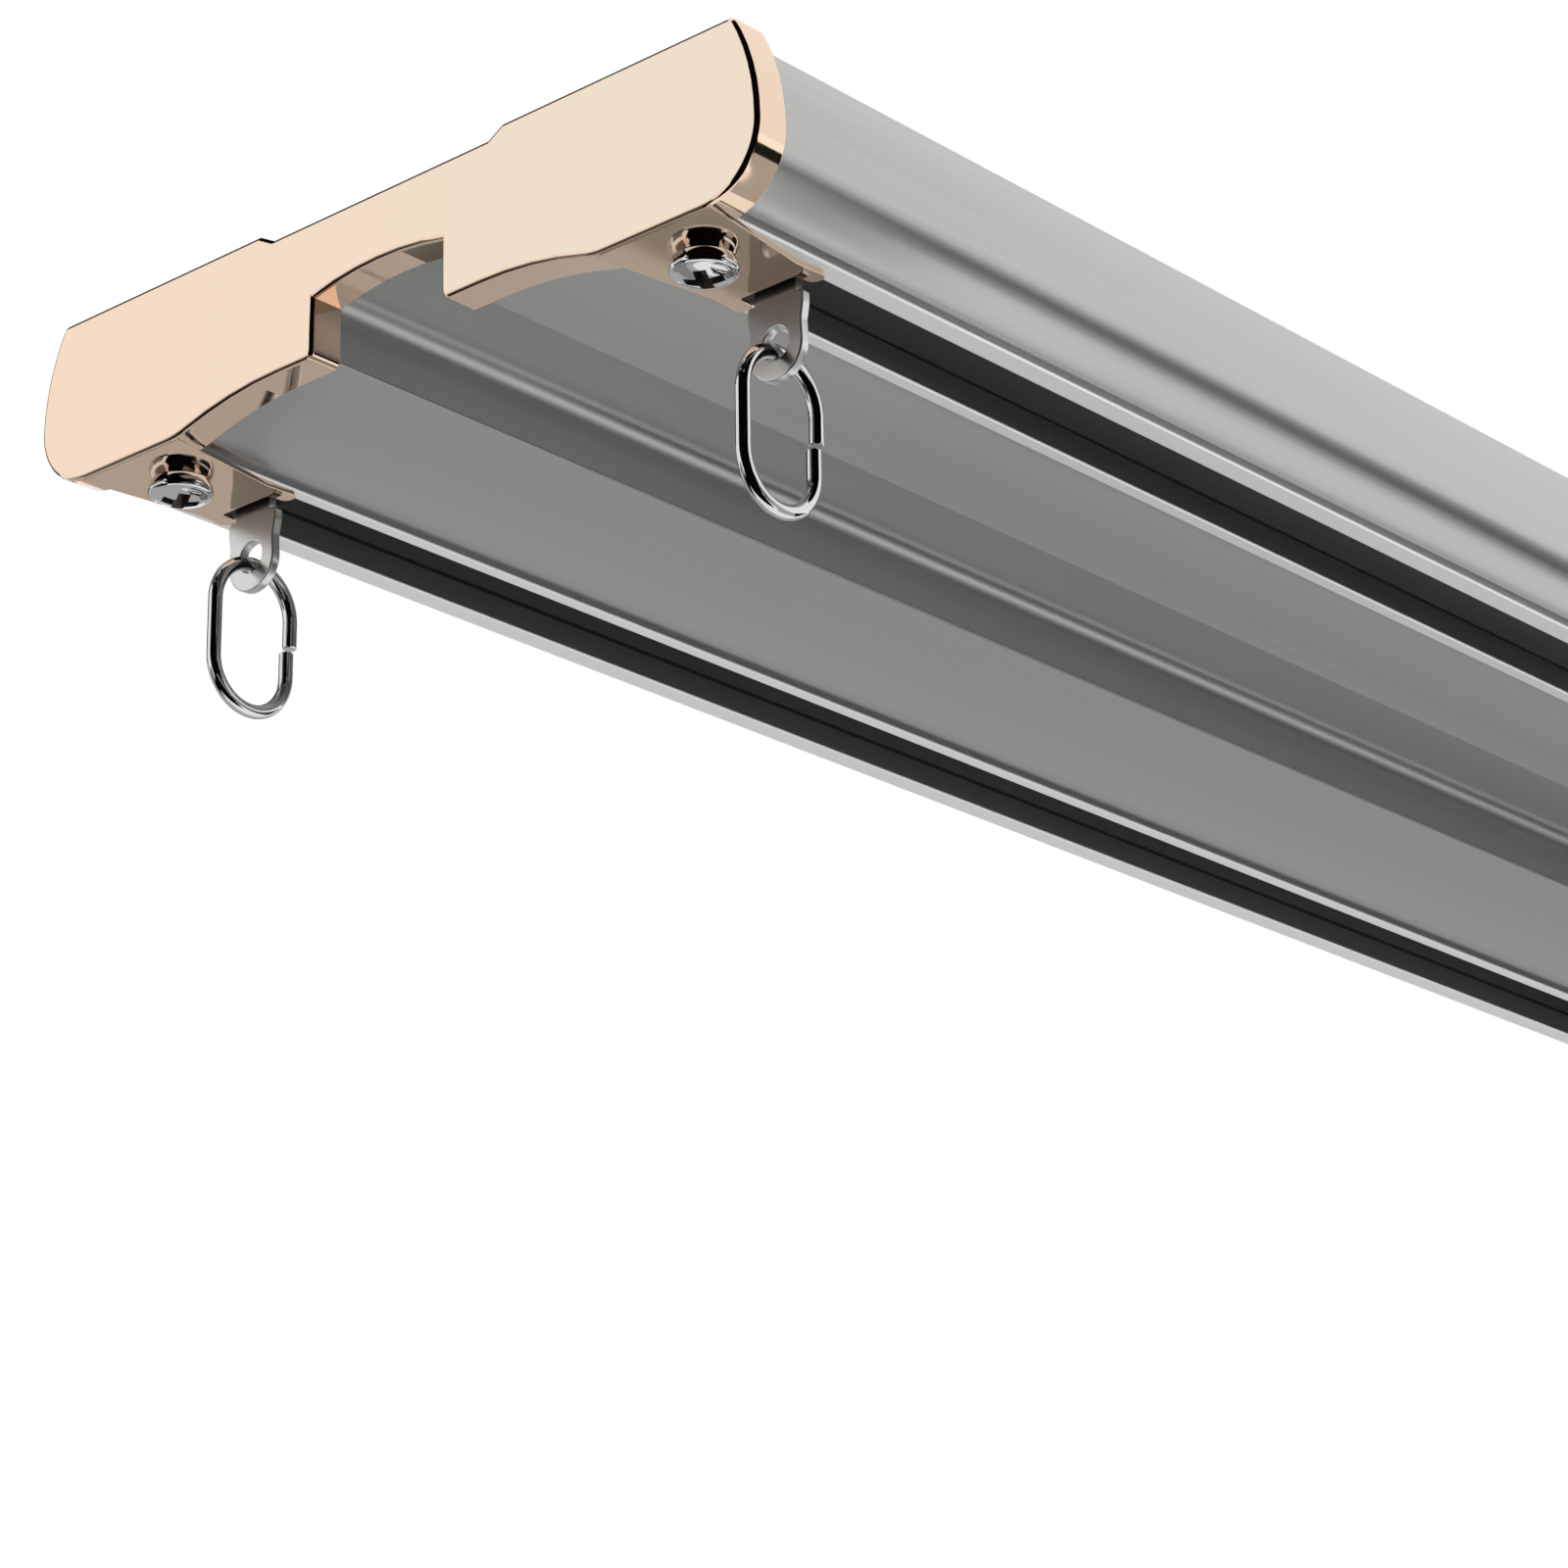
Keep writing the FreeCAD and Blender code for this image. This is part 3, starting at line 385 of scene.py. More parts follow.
def circle(across, up, radius, count=48):
    """A round outline."""
    return [
        Vector((across + radius * math.cos(a), up + radius * math.sin(a)))
        for a in (2 * math.pi * n / count for n in range(count))
    ]


# Meshes, built in millimetres


def rings_of(outline, low, high, bevels, hole):
    """Levels of an outline from low to high, with rounded edges at both ends."""
    sign = -1 if hole else 1
    ends = []
    for face, bevel, way in ((low, bevels[0], 1), (high, bevels[1], -1)):
        rings = []
        for n in range(EDGE_STEPS + 1 if bevel else 1):
            a = math.pi / 2 * n / EDGE_STEPS
            level = face + way * bevel * (1 - math.cos(a))
            rings.append((level, inset(outline, sign * bevel * (1 - math.sin(a)))))
        ends.append(rings)
    return ends[0] + ends[1][::-1]


def slab(outline, low, high, bevels=(0, 0), holes=()):
    """A plate of an outline with rounded edges and holes; the plate's thickness lies along Z."""
    shape = bmesh.new()
    ends = ([], [])
    for number, loop in enumerate([outline, *holes]):
        rings = rings_of(loop, low, high, bevels, number > 0)
        rows = [
            [shape.verts.new((p.x, p.y, level)) for p in points] for level, points in rings
        ]
        for lower, upper in zip(rows, rows[1:]):
            for n in range(len(lower)):
                shape.faces.new((lower[n - 1], lower[n], upper[n], upper[n - 1]))
        ends[0].append(rows[0])
        ends[1].append(rows[-1])
    for loops in ends:
        if len(loops) == 1:
            shape.faces.new(loops[0])
            continue
        edges = [
            shape.edges.get((loop[n - 1], loop[n])) for loop in loops for n in range(len(loop))
        ]
        bmesh.ops.triangle_fill(shape, use_beauty=True, edges=edges)
    bmesh.ops.recalc_face_normals(shape, faces=shape.faces)
    return shape


def turned(profile, count=64):
    """A round piece from its half profile (radius, height) that starts and ends on the axis."""
    shape = bmesh.new()
    rows = []
    for radius, height in profile:
        if radius == 0:
            rows.append([shape.verts.new((0, 0, height))])
        else:
            rows.append([shape.verts.new((p.x, p.y, height)) for p in circle(0, 0, radius, count)])
    for lower, upper in zip(rows, rows[1:]):
        for n in range(count):
            corners = [lower[(n - 1) % len(lower)], lower[n % len(lower)]]
            corners += [upper[n % len(upper)], upper[(n - 1) % len(upper)]]
            face = list(dict.fromkeys(corners))
            if len(face) > 2:
                shape.faces.new(face)
    bmesh.ops.recalc_face_normals(shape, faces=shape.faces)
    return shape


def tube(path, radius, sides=20, bevel=0.12):
    """Round wire along a path in the XZ plane, with both ends cut square and slightly rounded."""
    shape = bmesh.new()
    rows = []
    side = Vector((0, 1, 0))
    for n, here in enumerate(path):
        before = path[max(n - 1, 0)]
        after = path[min(n + 1, len(path) - 1)]
        along = (after - before).normalized()
        out = side.cross(along)
        for shift, size in end_steps(n, len(path), radius, bevel):
            centre = here + along * shift
            rows.append([
                shape.verts.new(centre + (out * math.cos(a) + side * math.sin(a)) * size)
                for a in (2 * math.pi * k / sides for k in range(sides))
            ])
    for lower, upper in zip(rows, rows[1:]):
        for k in range(sides):
            shape.faces.new((lower[k - 1], lower[k], upper[k], upper[k - 1]))
    shape.faces.new(rows[0])
    shape.faces.new(rows[-1])
    bmesh.ops.recalc_face_normals(shape, faces=shape.faces)
    return shape


def end_steps(index, count, radius, bevel):
    """Shifts and radii of the wire at one point of its path."""
    if index == 0:
        return [(0, radius - bevel), (bevel, radius)]
    if index == count - 1:
        return [(-bevel, radius), (0, radius - bevel)]
    return [(0, radius)]


def finish_mesh(shape, name, matrix=Matrix()):
    """A Blender mesh in metres from a shape in millimetres, with its steep edges sharp."""
    for edge in shape.edges:
        if len(edge.link_faces) == 2:
            # A plate's flat end stays flat up to its rounded edge
            flat = [abs(face.normal.z) > 0.999 for face in edge.link_faces]
            edge.smooth = edge.calc_face_angle(0) < SHARP_ANGLE and flat[0] == flat[1]
    shape.transform(matrix)
    bmesh.ops.scale(shape, vec=(MM, MM, MM), verts=shape.verts)
    if matrix.determinant() < 0:
        bmesh.ops.reverse_faces(shape, faces=shape.faces)
    for face in shape.faces:
        face.smooth = True
    mesh = bpy.data.meshes.new(name)
    shape.to_mesh(mesh)
    shape.free()
    return mesh


def linked_object(name, data):
    """An object of a mesh, a lamp or a camera, in the scene."""
    item = bpy.data.objects.new(name, data)
    bpy.context.scene.collection.objects.link(item)
    return item


def plain_object(name, shape):
    """An object of a shape as it is, without change of size."""
    mesh = bpy.data.meshes.new(name)
    shape.to_mesh(mesh)
    shape.free()
    return linked_object(name, mesh)


def add_piece(name, mesh, body, materials, slot_name, *nodes):
    """Put a piece on its body in place of the nodes that it stands for."""
    piece = linked_object(name, mesh)
    for material in materials:
        mesh.materials.append(material)
    normals = piece.modifiers.new("flat_faces_stay_flat", "WEIGHTED_NORMAL")
    normals.keep_sharp = True
    normals.weight = 60
    bpy.context.view_layer.update()
    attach(piece, body)
    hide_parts(*nodes)
    return piece


def combine(first, second, operation):
    """The boolean of two shapes in millimetres."""
    base = plain_object("boolean_base", first)
    other = plain_object("boolean_tool", second)
    join = base.modifiers.new("join", "BOOLEAN")
    join.object = other
    join.operation = operation
    join.solver = "EXACT"
    graph = bpy.context.evaluated_depsgraph_get()
    result = bmesh.new()
    result.from_mesh(base.evaluated_get(graph).to_mesh())
    for holder in (base, other):
        mesh = holder.data
        bpy.data.objects.remove(holder)
        bpy.data.meshes.remove(mesh)
    if not result.faces:
        raise RuntimeError(f"{operation} left nothing")
    return result


# Materials


def linear(hex_colour):
    """A linear colour from an sRGB hex value."""
    channels = [int(hex_colour[n:n + 2], 16) / 255 for n in (1, 3, 5)]
    return [c / 12.92 if c <= 0.04045 else ((c + 0.055) / 1.055) ** 2.4 for c in channels] + [1.0]


def add_node(tree, kind, settings=(), links=()):
    """A node with its settings; links are (input, value or socket)."""
    node = tree.nodes.new(kind)
    for name, value in dict(settings).items():
        setattr(node, name, value)
    for socket, value in links:
        if isinstance(value, bpy.types.NodeSocket):
            tree.links.new(value, node.inputs[socket])
        else:
            node.inputs[socket].default_value = value
    return node


def new_material(name, colour, metallic, roughness):
    """A material with a principled shader; returns the material, its tree and the shader."""
    material = bpy.data.materials.new(name)
    material.use_nodes = True
    material.diffuse_color = linear(colour)
    tree = material.node_tree
    shader = tree.nodes["Principled BSDF"]
    shader.inputs["Base Color"].default_value = linear(colour)
    shader.inputs["Metallic"].default_value = metallic
    shader.inputs["Roughness"].default_value = roughness
    return material, tree, shader


def vary(tree, shader, stretch, feature_mm, roughness, bump_mm):
    """Uneven gloss and a slight bump, from noise that is stretched along the object's axes."""
    place = add_node(tree, "ShaderNodeTexCoord")
    scale = add_node(tree, "ShaderNodeMapping", links=[
        ("Vector", place.outputs["Object"]),
        ("Scale", stretch),
    ])
    noise = add_node(tree, "ShaderNodeTexNoise", links=[
        ("Vector", scale.outputs["Vector"]),
        ("Scale", 1 / (feature_mm * MM)),
        ("Detail", 3.0),
        ("Roughness", 0.55),
    ])
    gloss = add_node(tree, "ShaderNodeMapRange", links=[
        ("Value", noise.outputs["Fac"]),
        ("From Min", 0.3),
        ("From Max", 0.7),
        ("To Min", roughness[0]),
        ("To Max", roughness[1]),
    ])
    tree.links.new(gloss.outputs["Result"], shader.inputs["Roughness"])
    bump = add_node(tree, "ShaderNodeBump", links=[
        ("Height", noise.outputs["Fac"]),
        ("Distance", bump_mm * MM),
        ("Strength", 1.0),
    ])
    tree.links.new(bump.outputs["Normal"], shader.inputs["Normal"])
    return noise


def anodised_aluminium(colour):
    """Extruded, brushed and clear anodised: satin grey with faint lines along the rail."""
    material, tree, shader = new_material("anodised_aluminium_extruded", colour, 1.0, 0.36)
    # Die lines are some 0.1 mm apart; drawn 0.6 mm apart so that they show
    vary(tree, shader, (0.004, 1.0, 1.0), 0.6, (0.33, 0.39), 0.0015)
    return material


def lip_painted_reflection(colour):
    """The lips' undersides, lighter than the rest: a painted reflection of white curtains hanging
    just below them.
    """
    material, tree, shader = new_material("aluminium_lip_painted_reflection", colour, 0.8, 0.5)
    # Fine lines run along the rail some 0.3 mm apart
    vary(tree, shader, (0.004, 1.0, 1.0), 0.3, (0.45, 0.55), 0.001)
    return material


def champagne_satin(colour, warm):
    """Zinc casting, blasted and plated pale gold: a satin face with painted warm light, warmer
    towards the rear.
    """
    # A clear lacquer over the plating scatters over a third of the light, so no side goes dark
    material, tree, shader = new_material("champagne_plated_zinc_satin", colour, 0.62, 0.28)
    place = add_node(tree, "ShaderNodeTexCoord")
    axes = add_node(tree, "ShaderNodeSeparateXYZ", links=[("Vector", place.outputs["Object"])])
    # The face turns warmer towards the rear (+Y): painted warm light falling from that side
    across = add_node(tree, "ShaderNodeMapRange", links=[
        ("Value", axes.outputs["Y"]),
        ("From Min", -0.03),
        ("From Max", 0.05),
    ])
    # A colour mix has its factor at socket 0 and its two colours at 6 and 7
    blend = add_node(tree, "ShaderNodeMix", {"data_type": "RGBA"}, [
        (0, across.outputs["Result"]),
        (6, linear(colour)),
        (7, linear(warm)),
    ])
    tree.links.new(blend.outputs[2], shader.inputs["Base Color"])
    # Blasting leaves pits of about 0.2 mm, drawn at 0.35 mm
    vary(tree, shader, (1.0, 1.0, 1.0), 0.35, (0.275, 0.285), 0.00003)
    return material


def champagne_bright(colour):
    """The same plating left bright on the rim and the tongues: a warm mirror."""
    material, tree, shader = new_material("champagne_plated_zinc_bright", colour, 1.0, 0.1)
    # Polish leaves a slow waviness a few millimetres long
    vary(tree, shader, (1.0, 1.0, 1.0), 4.0, (0.05, 0.09), 0.003)
    return material


def chrome_plated_steel(colour):
    """Bright chrome on steel: a hard mirror with slight pull marks."""
    material, tree, shader = new_material("chrome_plated_steel", colour, 1.0, 0.06)
    vary(tree, shader, (1.0, 1.0, 1.0), 1.2, (0.04, 0.07), 0.0006)
    return material


def recess_painted_shade(colour):
    """Steel at the bottom of a cross recess, dull and dark: painted shade where the recess lies in
    shadow.
    """
    material, tree, shader = new_material("steel_recess_painted_shade", colour, 1.0, 0.45)
    vary(tree, shader, (1.0, 1.0, 1.0), 0.4, (0.4, 0.5), 0.001)
    return material


def nickel_plated_steel(colour):
    """Pressed steel with a satin nickel coat: soft grey shine, fine tumbling marks."""
    material, tree, shader = new_material("nickel_plated_steel_pressed", colour, 1.0, 0.3)
    vary(tree, shader, (1.0, 1.0, 1.0), 0.8, (0.28, 0.32), 0.0003)
    return material


def zinc_plated_steel(colour):
    """Galvanised spring steel sheet: dull blue grey with cloudy patches."""
    material, tree, shader = new_material("zinc_plated_steel_sheet", colour, 1.0, 0.4)
    vary(tree, shader, (1.0, 1.0, 1.0), 2.5, (0.32, 0.5), 0.004)
    return material


def moulded_nylon(name, colour):
    """Injection moulded nylon: matt with a fine spark-eroded grain of 0.1 mm, drawn at 0.25."""
    material, tree, shader = new_material(name, colour, 0.0, 0.5)
    shader.inputs["IOR"].default_value = 1.53
    vary(tree, shader, (1.0, 1.0, 1.0), 0.25, (0.45, 0.58), 0.006)
    return material


def set_material(node_name, material):
    """Give a node of the frame its finish."""
    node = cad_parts[node_name]
    node.data.materials.clear()
    node.data.materials.append(material)
    return node


def round_node(node_name, material, width):
    """Give a node its finish and slightly rounded edges."""
    node = set_material(node_name, material)
    weld = node.modifiers.new("weld", "WELD")
    weld.merge_threshold = 0.00001
    bevel = node.modifiers.new("rounded_edges", "BEVEL")
    bevel.width = width * MM
    bevel.segments = 2
    bevel.limit_method = "ANGLE"
    bevel.angle_limit = math.radians(40)
    return node


def over_tab(runner):
    """The place of a runner's tab along and across the track."""
    low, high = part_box(f"{runner}_tab")
    middle = (low + high) / 2
    return Matrix.Translation((middle.x / MM, middle.y / MM, 0))


# Settings


class TrackFinish(bpy.types.PropertyGroup):
    """Colours of the track's finishes."""

    rail_grey: bpy.props.StringProperty(
        name="Rail grey", description="Satin anodised aluminium", default="#C2C2C1")
    # The lip grey is a painted reflection: the lips' undersides drawn lighter, as if lit by white
    # curtains below
    lip_painted_light: bpy.props.StringProperty(
        name="Lip grey", description="Bare aluminium under the lips", default="#F2F2F2")
    cap_face: bpy.props.StringProperty(
        name="Cap face", description="Satin champagne plating", default="#E4D5C1")
    # The warmer rear colour of the cap face is painted warm light
    cap_face_warm_light: bpy.props.StringProperty(
        name="Cap face at the rear", description="The same plating where it is warmer",
        default="#EDD2BB")
    cap_rim: bpy.props.StringProperty(
        name="Cap rim", description="Bright champagne plating", default="#EFD4BC")
    chrome: bpy.props.StringProperty(
        name="Chrome", description="Bright plating of rings and screws", default="#DCDCDE")
    # The screw recess colour is painted shade: the cross recess drawn dark where shade falls
    recess: bpy.props.StringProperty(
        name="Screw recess", description="Dull steel in the cross recess", default="#6E655F")
    nickel: bpy.props.StringProperty(
        name="Nickel", description="Satin plating of the hanger tabs", default="#DCDCDA")
    zinc: bpy.props.StringProperty(
        name="Zinc", description="Plating of clips and clamp plates", default="#B4B8BC")
    wheel_white: bpy.props.StringProperty(
        name="Wheel white", description="Nylon of the wheels", default="#E4E2DC")
    block_black: bpy.props.StringProperty(
        name="Block black", description="Nylon of the runner blocks", default="#222224")
    strip_grey: bpy.props.StringProperty(
        name="Strip grey", description="Nylon of the running strips", default="#1A1A1C")


class TrackShape(bpy.types.PropertyGroup):
    """Small roundings of the track's pieces."""

    face_bevel: bpy.props.FloatProperty(
        name="Cap face edge", description="Round on the edge of the cap's face, in mm",
        default=0.6, min=0.05, max=0.8)
    rim_bevel: bpy.props.FloatProperty(
        name="Cap rim edge", description="Round on the edge of the cap's rim, in mm",
        default=0.15, min=0.0, max=0.4)
    cap_corner: bpy.props.FloatProperty(
        name="Cap corner", description="Round on the cap's outer corners, in mm",
        default=1.2, min=0.4, max=2.0)
    head_wall: bpy.props.FloatProperty(
        name="Screw head's side", description="Straight side of a cap screw's head, in mm",
        default=1.6, min=1.0, max=2.0)
    wire_radius: bpy.props.FloatProperty(
        name="Ring wire", description="Radius of the rings' wire, in mm",
        default=0.9, min=0.6, max=0.9)
    tab_bevel: bpy.props.FloatProperty(
        name="Tab edge", description="Round on the edges of a hanger tab, in mm",
        default=0.2, min=0.05, max=0.4)


class TrackStage(bpy.types.PropertyGroup):
    """Camera and light."""

    lens: bpy.props.FloatProperty(
        name="Lens", description="Focal length of the camera", default=109.92,
        unit="CAMERA")
    floor_level: bpy.props.FloatProperty(
        name="Floor level", description="Floor below the ceiling", default=-2.4,
        unit="LENGTH", subtype="DISTANCE")
    fill: bpy.props.FloatProperty(
        name="Fill light", description="Strength of the light from all round",
        default=0.75, min=0, max=2)
    reflector: bpy.props.FloatProperty(
        name="Reflector", description="Brightness of the reflector under the track",
        default=0.46, min=0, max=1)
    recess: bpy.props.FloatProperty(
        name="Dark card", description="Brightness of the card below the rail's middle",
        default=0.05, min=0, max=1)
    recess_end: bpy.props.FloatProperty(
        name="Dark card's end", description="Brightness of the same card's end under the cap",
        default=0.26, min=0, max=1)
    rim: bpy.props.FloatProperty(
        name="Rim card", description="Brightness of the small card beside the cap's rim",
        default=0.45, min=0, max=1)
    key: bpy.props.FloatProperty(
        name="Key light", description="Power of the key light", default=55.0, min=0,
        unit="POWER")


# Operators


class TRACK_OT_stage(bpy.types.Operator):
    """Floor, background, lights and camera"""

    bl_idname = "track.stage"
    bl_label = "Stage"

    def execute(self, context):
        settings = context.scene.track_stage
        self.background(context, settings)
        self.floor(settings)
        self.lamps(settings)
        self.cards(settings)
        self.camera(context, settings)
        return {"FINISHED"}

    def shown_white(self, tree, plain):
        """White for camera, mirror and glass rays; the plain shader for all others."""
        path = add_node(tree, "ShaderNodeLightPath")
        seen = add_node(tree, "ShaderNodeMath", {"operation": "MAXIMUM"}, [
            (0, path.outputs["Is Camera Ray"]),
            (1, path.outputs["Is Glossy Ray"]),
        ])
        seen = add_node(tree, "ShaderNodeMath", {"operation": "MAXIMUM"}, [
            (0, seen.outputs["Value"]),
            (1, path.outputs["Is Transmission Ray"]),
        ])
        white = add_node(tree, "ShaderNodeEmission", links=[("Strength", 1.0)])
        return add_node(tree, "ShaderNodeMixShader", links=[
            (0, seen.outputs["Value"]),
            (1, plain),
            (2, white.outputs["Emission"]),
        ])

    def background(self, context, settings):
        world = bpy.data.worlds.new("white_studio")
        context.scene.world = world
        world.use_nodes = True
        tree = world.node_tree
        plain = tree.nodes["Background"]
        plain.inputs["Color"].default_value = (1, 1, 1, 1)
        plain.inputs["Strength"].default_value = settings.fill
        mixed = self.shown_white(tree, plain.outputs["Background"])
        tree.links.new(mixed.outputs["Shader"], tree.nodes["World Output"].inputs["Surface"])

    def floor(self, settings):
        shape = bmesh.new()
        bmesh.ops.create_grid(shape, x_segments=1, y_segments=1, size=6.0)
        floor = plain_object("floor", shape)
        floor.location.z = settings.floor_level
        material, tree, shader = new_material("pale_floor_paint", "#F4F4F2", 0.0, 0.7)
        mixed = self.shown_white(tree, shader.outputs["BSDF"])
        tree.links.new(mixed.outputs["Shader"], tree.nodes["Material Output"].inputs["Surface"])
        floor.data.materials.append(material)

    def lamps(self, settings):
        for name, place, aim, size, power in (
            ("key", (-1.2, -1.6, 0.6), (-0.3, 0, 0), 1.4, settings.key),
            ("side", (1.4, 1.2, 0.4), (0.1, 0, 0), 1.4, settings.key * 0.4),
            ("below", (-0.6, -0.8, -1.6), (-0.3, 0, 0), 1.6, settings.key * 0.3),
        ):
            data = bpy.data.lights.new(name, "AREA")
            data.size = size
            data.energy = power
            lamp = linked_object(name, data)
            lamp.location = place
            away = Vector(place) - Vector(aim)
            lamp.rotation_euler = away.to_track_quat("Z", "Y").to_euler()
            lamp.visible_glossy = False

    def card(self, name, colour, bearing, rise, width, height, distance, glow):
        """A card that only metal shows, seen from the near cap at a bearing and a rise."""
        shape = bmesh.new()
        bmesh.ops.create_grid(shape, x_segments=1, y_segments=1, size=0.5)
        size = [2 * distance * math.tan(math.radians(angle / 2)) for angle in (width, height)]
        bmesh.ops.scale(shape, vec=(*size, 1), verts=shape.verts)
        card = plain_object(name, shape)
        turn, lift = math.radians(bearing), math.radians(rise)
        towards = Vector((
            math.cos(turn) * math.cos(lift), math.sin(turn) * math.cos(lift), math.sin(lift)))
        card.location = Vector((-0.4, 0, -0.02)) + towards * distance
        card.rotation_euler = (-towards).to_track_quat("Z", "Y").to_euler()
        material, tree, _ = new_material(name, colour, 0.0, 1.0)
        light = add_node(tree, "ShaderNodeEmission", links=[
            ("Color", linear(colour)),
            ("Strength", glow),
        ])
        output = tree.nodes["Material Output"]
        tree.links.new(light.outputs["Emission"], output.inputs["Surface"])
        card.data.materials.append(material)
        card.visible_camera = False
        card.visible_diffuse = False
        card.visible_shadow = False
        return card

    def cards(self, settings):
        """Dark, grey and white cards, as a product photographer places them round a set."""
        # Bearing, rise, width and height in degrees, then the distance
        for name, colour, *angles, distance, glow in (
            ("card_right", "#FFFFFF", -44, -14, 44, 44, 2.4, 1.15),
            ("card_right_core", "#060606", -44, -13.8, 62, 23.4, 2.2, 1),
            ("card_front", "#060606", 228, 21, 122, 108, 0.45, 1),
            ("card_front_low", "#060606", 228, -54, 96, 44, 0.45, 1),
            ("card_left", "#0A0A0A", 80, 16, 44, 30, 0.5, 1),
            ("card_low", "#0A0A0A", 108, -46, 84, 34, 0.45, 1),
            ("card_low_edge", "#7C7C7C", 134, -19, 44, 22, 0.45, 1),
            ("card_high", "#0E0E0E", 85, 48, 56, 26, 0.5, 1),
        ):
            self.card(name, colour, *angles, distance, glow)
        # Grey cards close to the track: three for its underside, one for the cap's lower rim
        turn = math.pi / 2
        for name, shade, place, size, tilt in (
            ("reflector", settings.reflector, (0.08, 0.1, -0.195), (1.0, 0.33), (turn, 0, 0)),
            ("recess_card", settings.recess, (0.135, -0.002, -0.062), (0.9, 0.033), (0, 0, 0)),
            ("recess_end", settings.recess_end, (-0.37, -0.002, -0.062), (0.11, 0.033), (0, 0, 0)),
            ("rim_card", settings.rim, (-0.355, -0.078, -0.0495), (0.03, 0.055), (-0.64, 0, 0)),
        ):
            # At 90 degrees and half a metre the card is a metre square, and is scaled from there
            card = self.card(name, "#FFFFFF", 0, 0, 90, 90, 0.5, shade)
            card.scale = (*size, 1)
            card.location = place
            card.rotation_euler = tilt

    def camera(self, context, settings):
        place = Vector((-0.7413, -0.3664, -0.2616))
        yaw, pitch, roll = (math.radians(a) for a in (41.865, 20.477, -0.767))
        forward = Vector((
            math.cos(yaw) * math.cos(pitch),
            math.sin(yaw) * math.cos(pitch),
            math.sin(pitch),
        ))
        level = Vector((math.sin(yaw), -math.cos(yaw), 0))
        upright = level.cross(forward)
        right = level * math.cos(roll) + upright * math.sin(roll)
        up = upright * math.cos(roll) - level * math.sin(roll)
        data = bpy.data.cameras.new("camera")
        data.sensor_fit = "HORIZONTAL"
        data.sensor_width = 36
        data.lens = settings.lens
        data.clip_start = 0.05
        data.clip_end = 50
        camera = linked_object("camera", data)
        turn = Matrix((right, up, -forward)).transposed().to_4x4()
        camera.matrix_world = Matrix.Translation(place) @ turn
        context.scene.camera = camera


class TRACK_OT_rail(bpy.types.Operator):
    """The extruded rail"""

    bl_idname = "track.rail"
    bl_label = "Rail"

    def execute(self, context):
        colours = context.scene.track_finish
        chamber = chamber_outline()
        shape = slab(rail_outline(), -RAIL_END, RAIL_END, holes=[chamber, mirror(chamber)])
        mesh = finish_mesh(shape, "rail_extrusion", UPRIGHT)
        for face in mesh.polygons:
            # Faces under the lips get the lighter material, a painted reflection of white curtains
            # below them
            under = face.center.z < (LIP_BASE + 0.3) * MM and abs(face.normal.x) < 0.5
            face.material_index = 1 if under else 0
        satin = anodised_aluminium(colours.rail_grey)
        painted_lip = lip_painted_reflection(colours.lip_painted_light)
        add_piece("rail_extrusion", mesh, "rail", [satin, painted_lip], "anodised_aluminium",
                  "rail_profile")
        return {"FINISHED"}


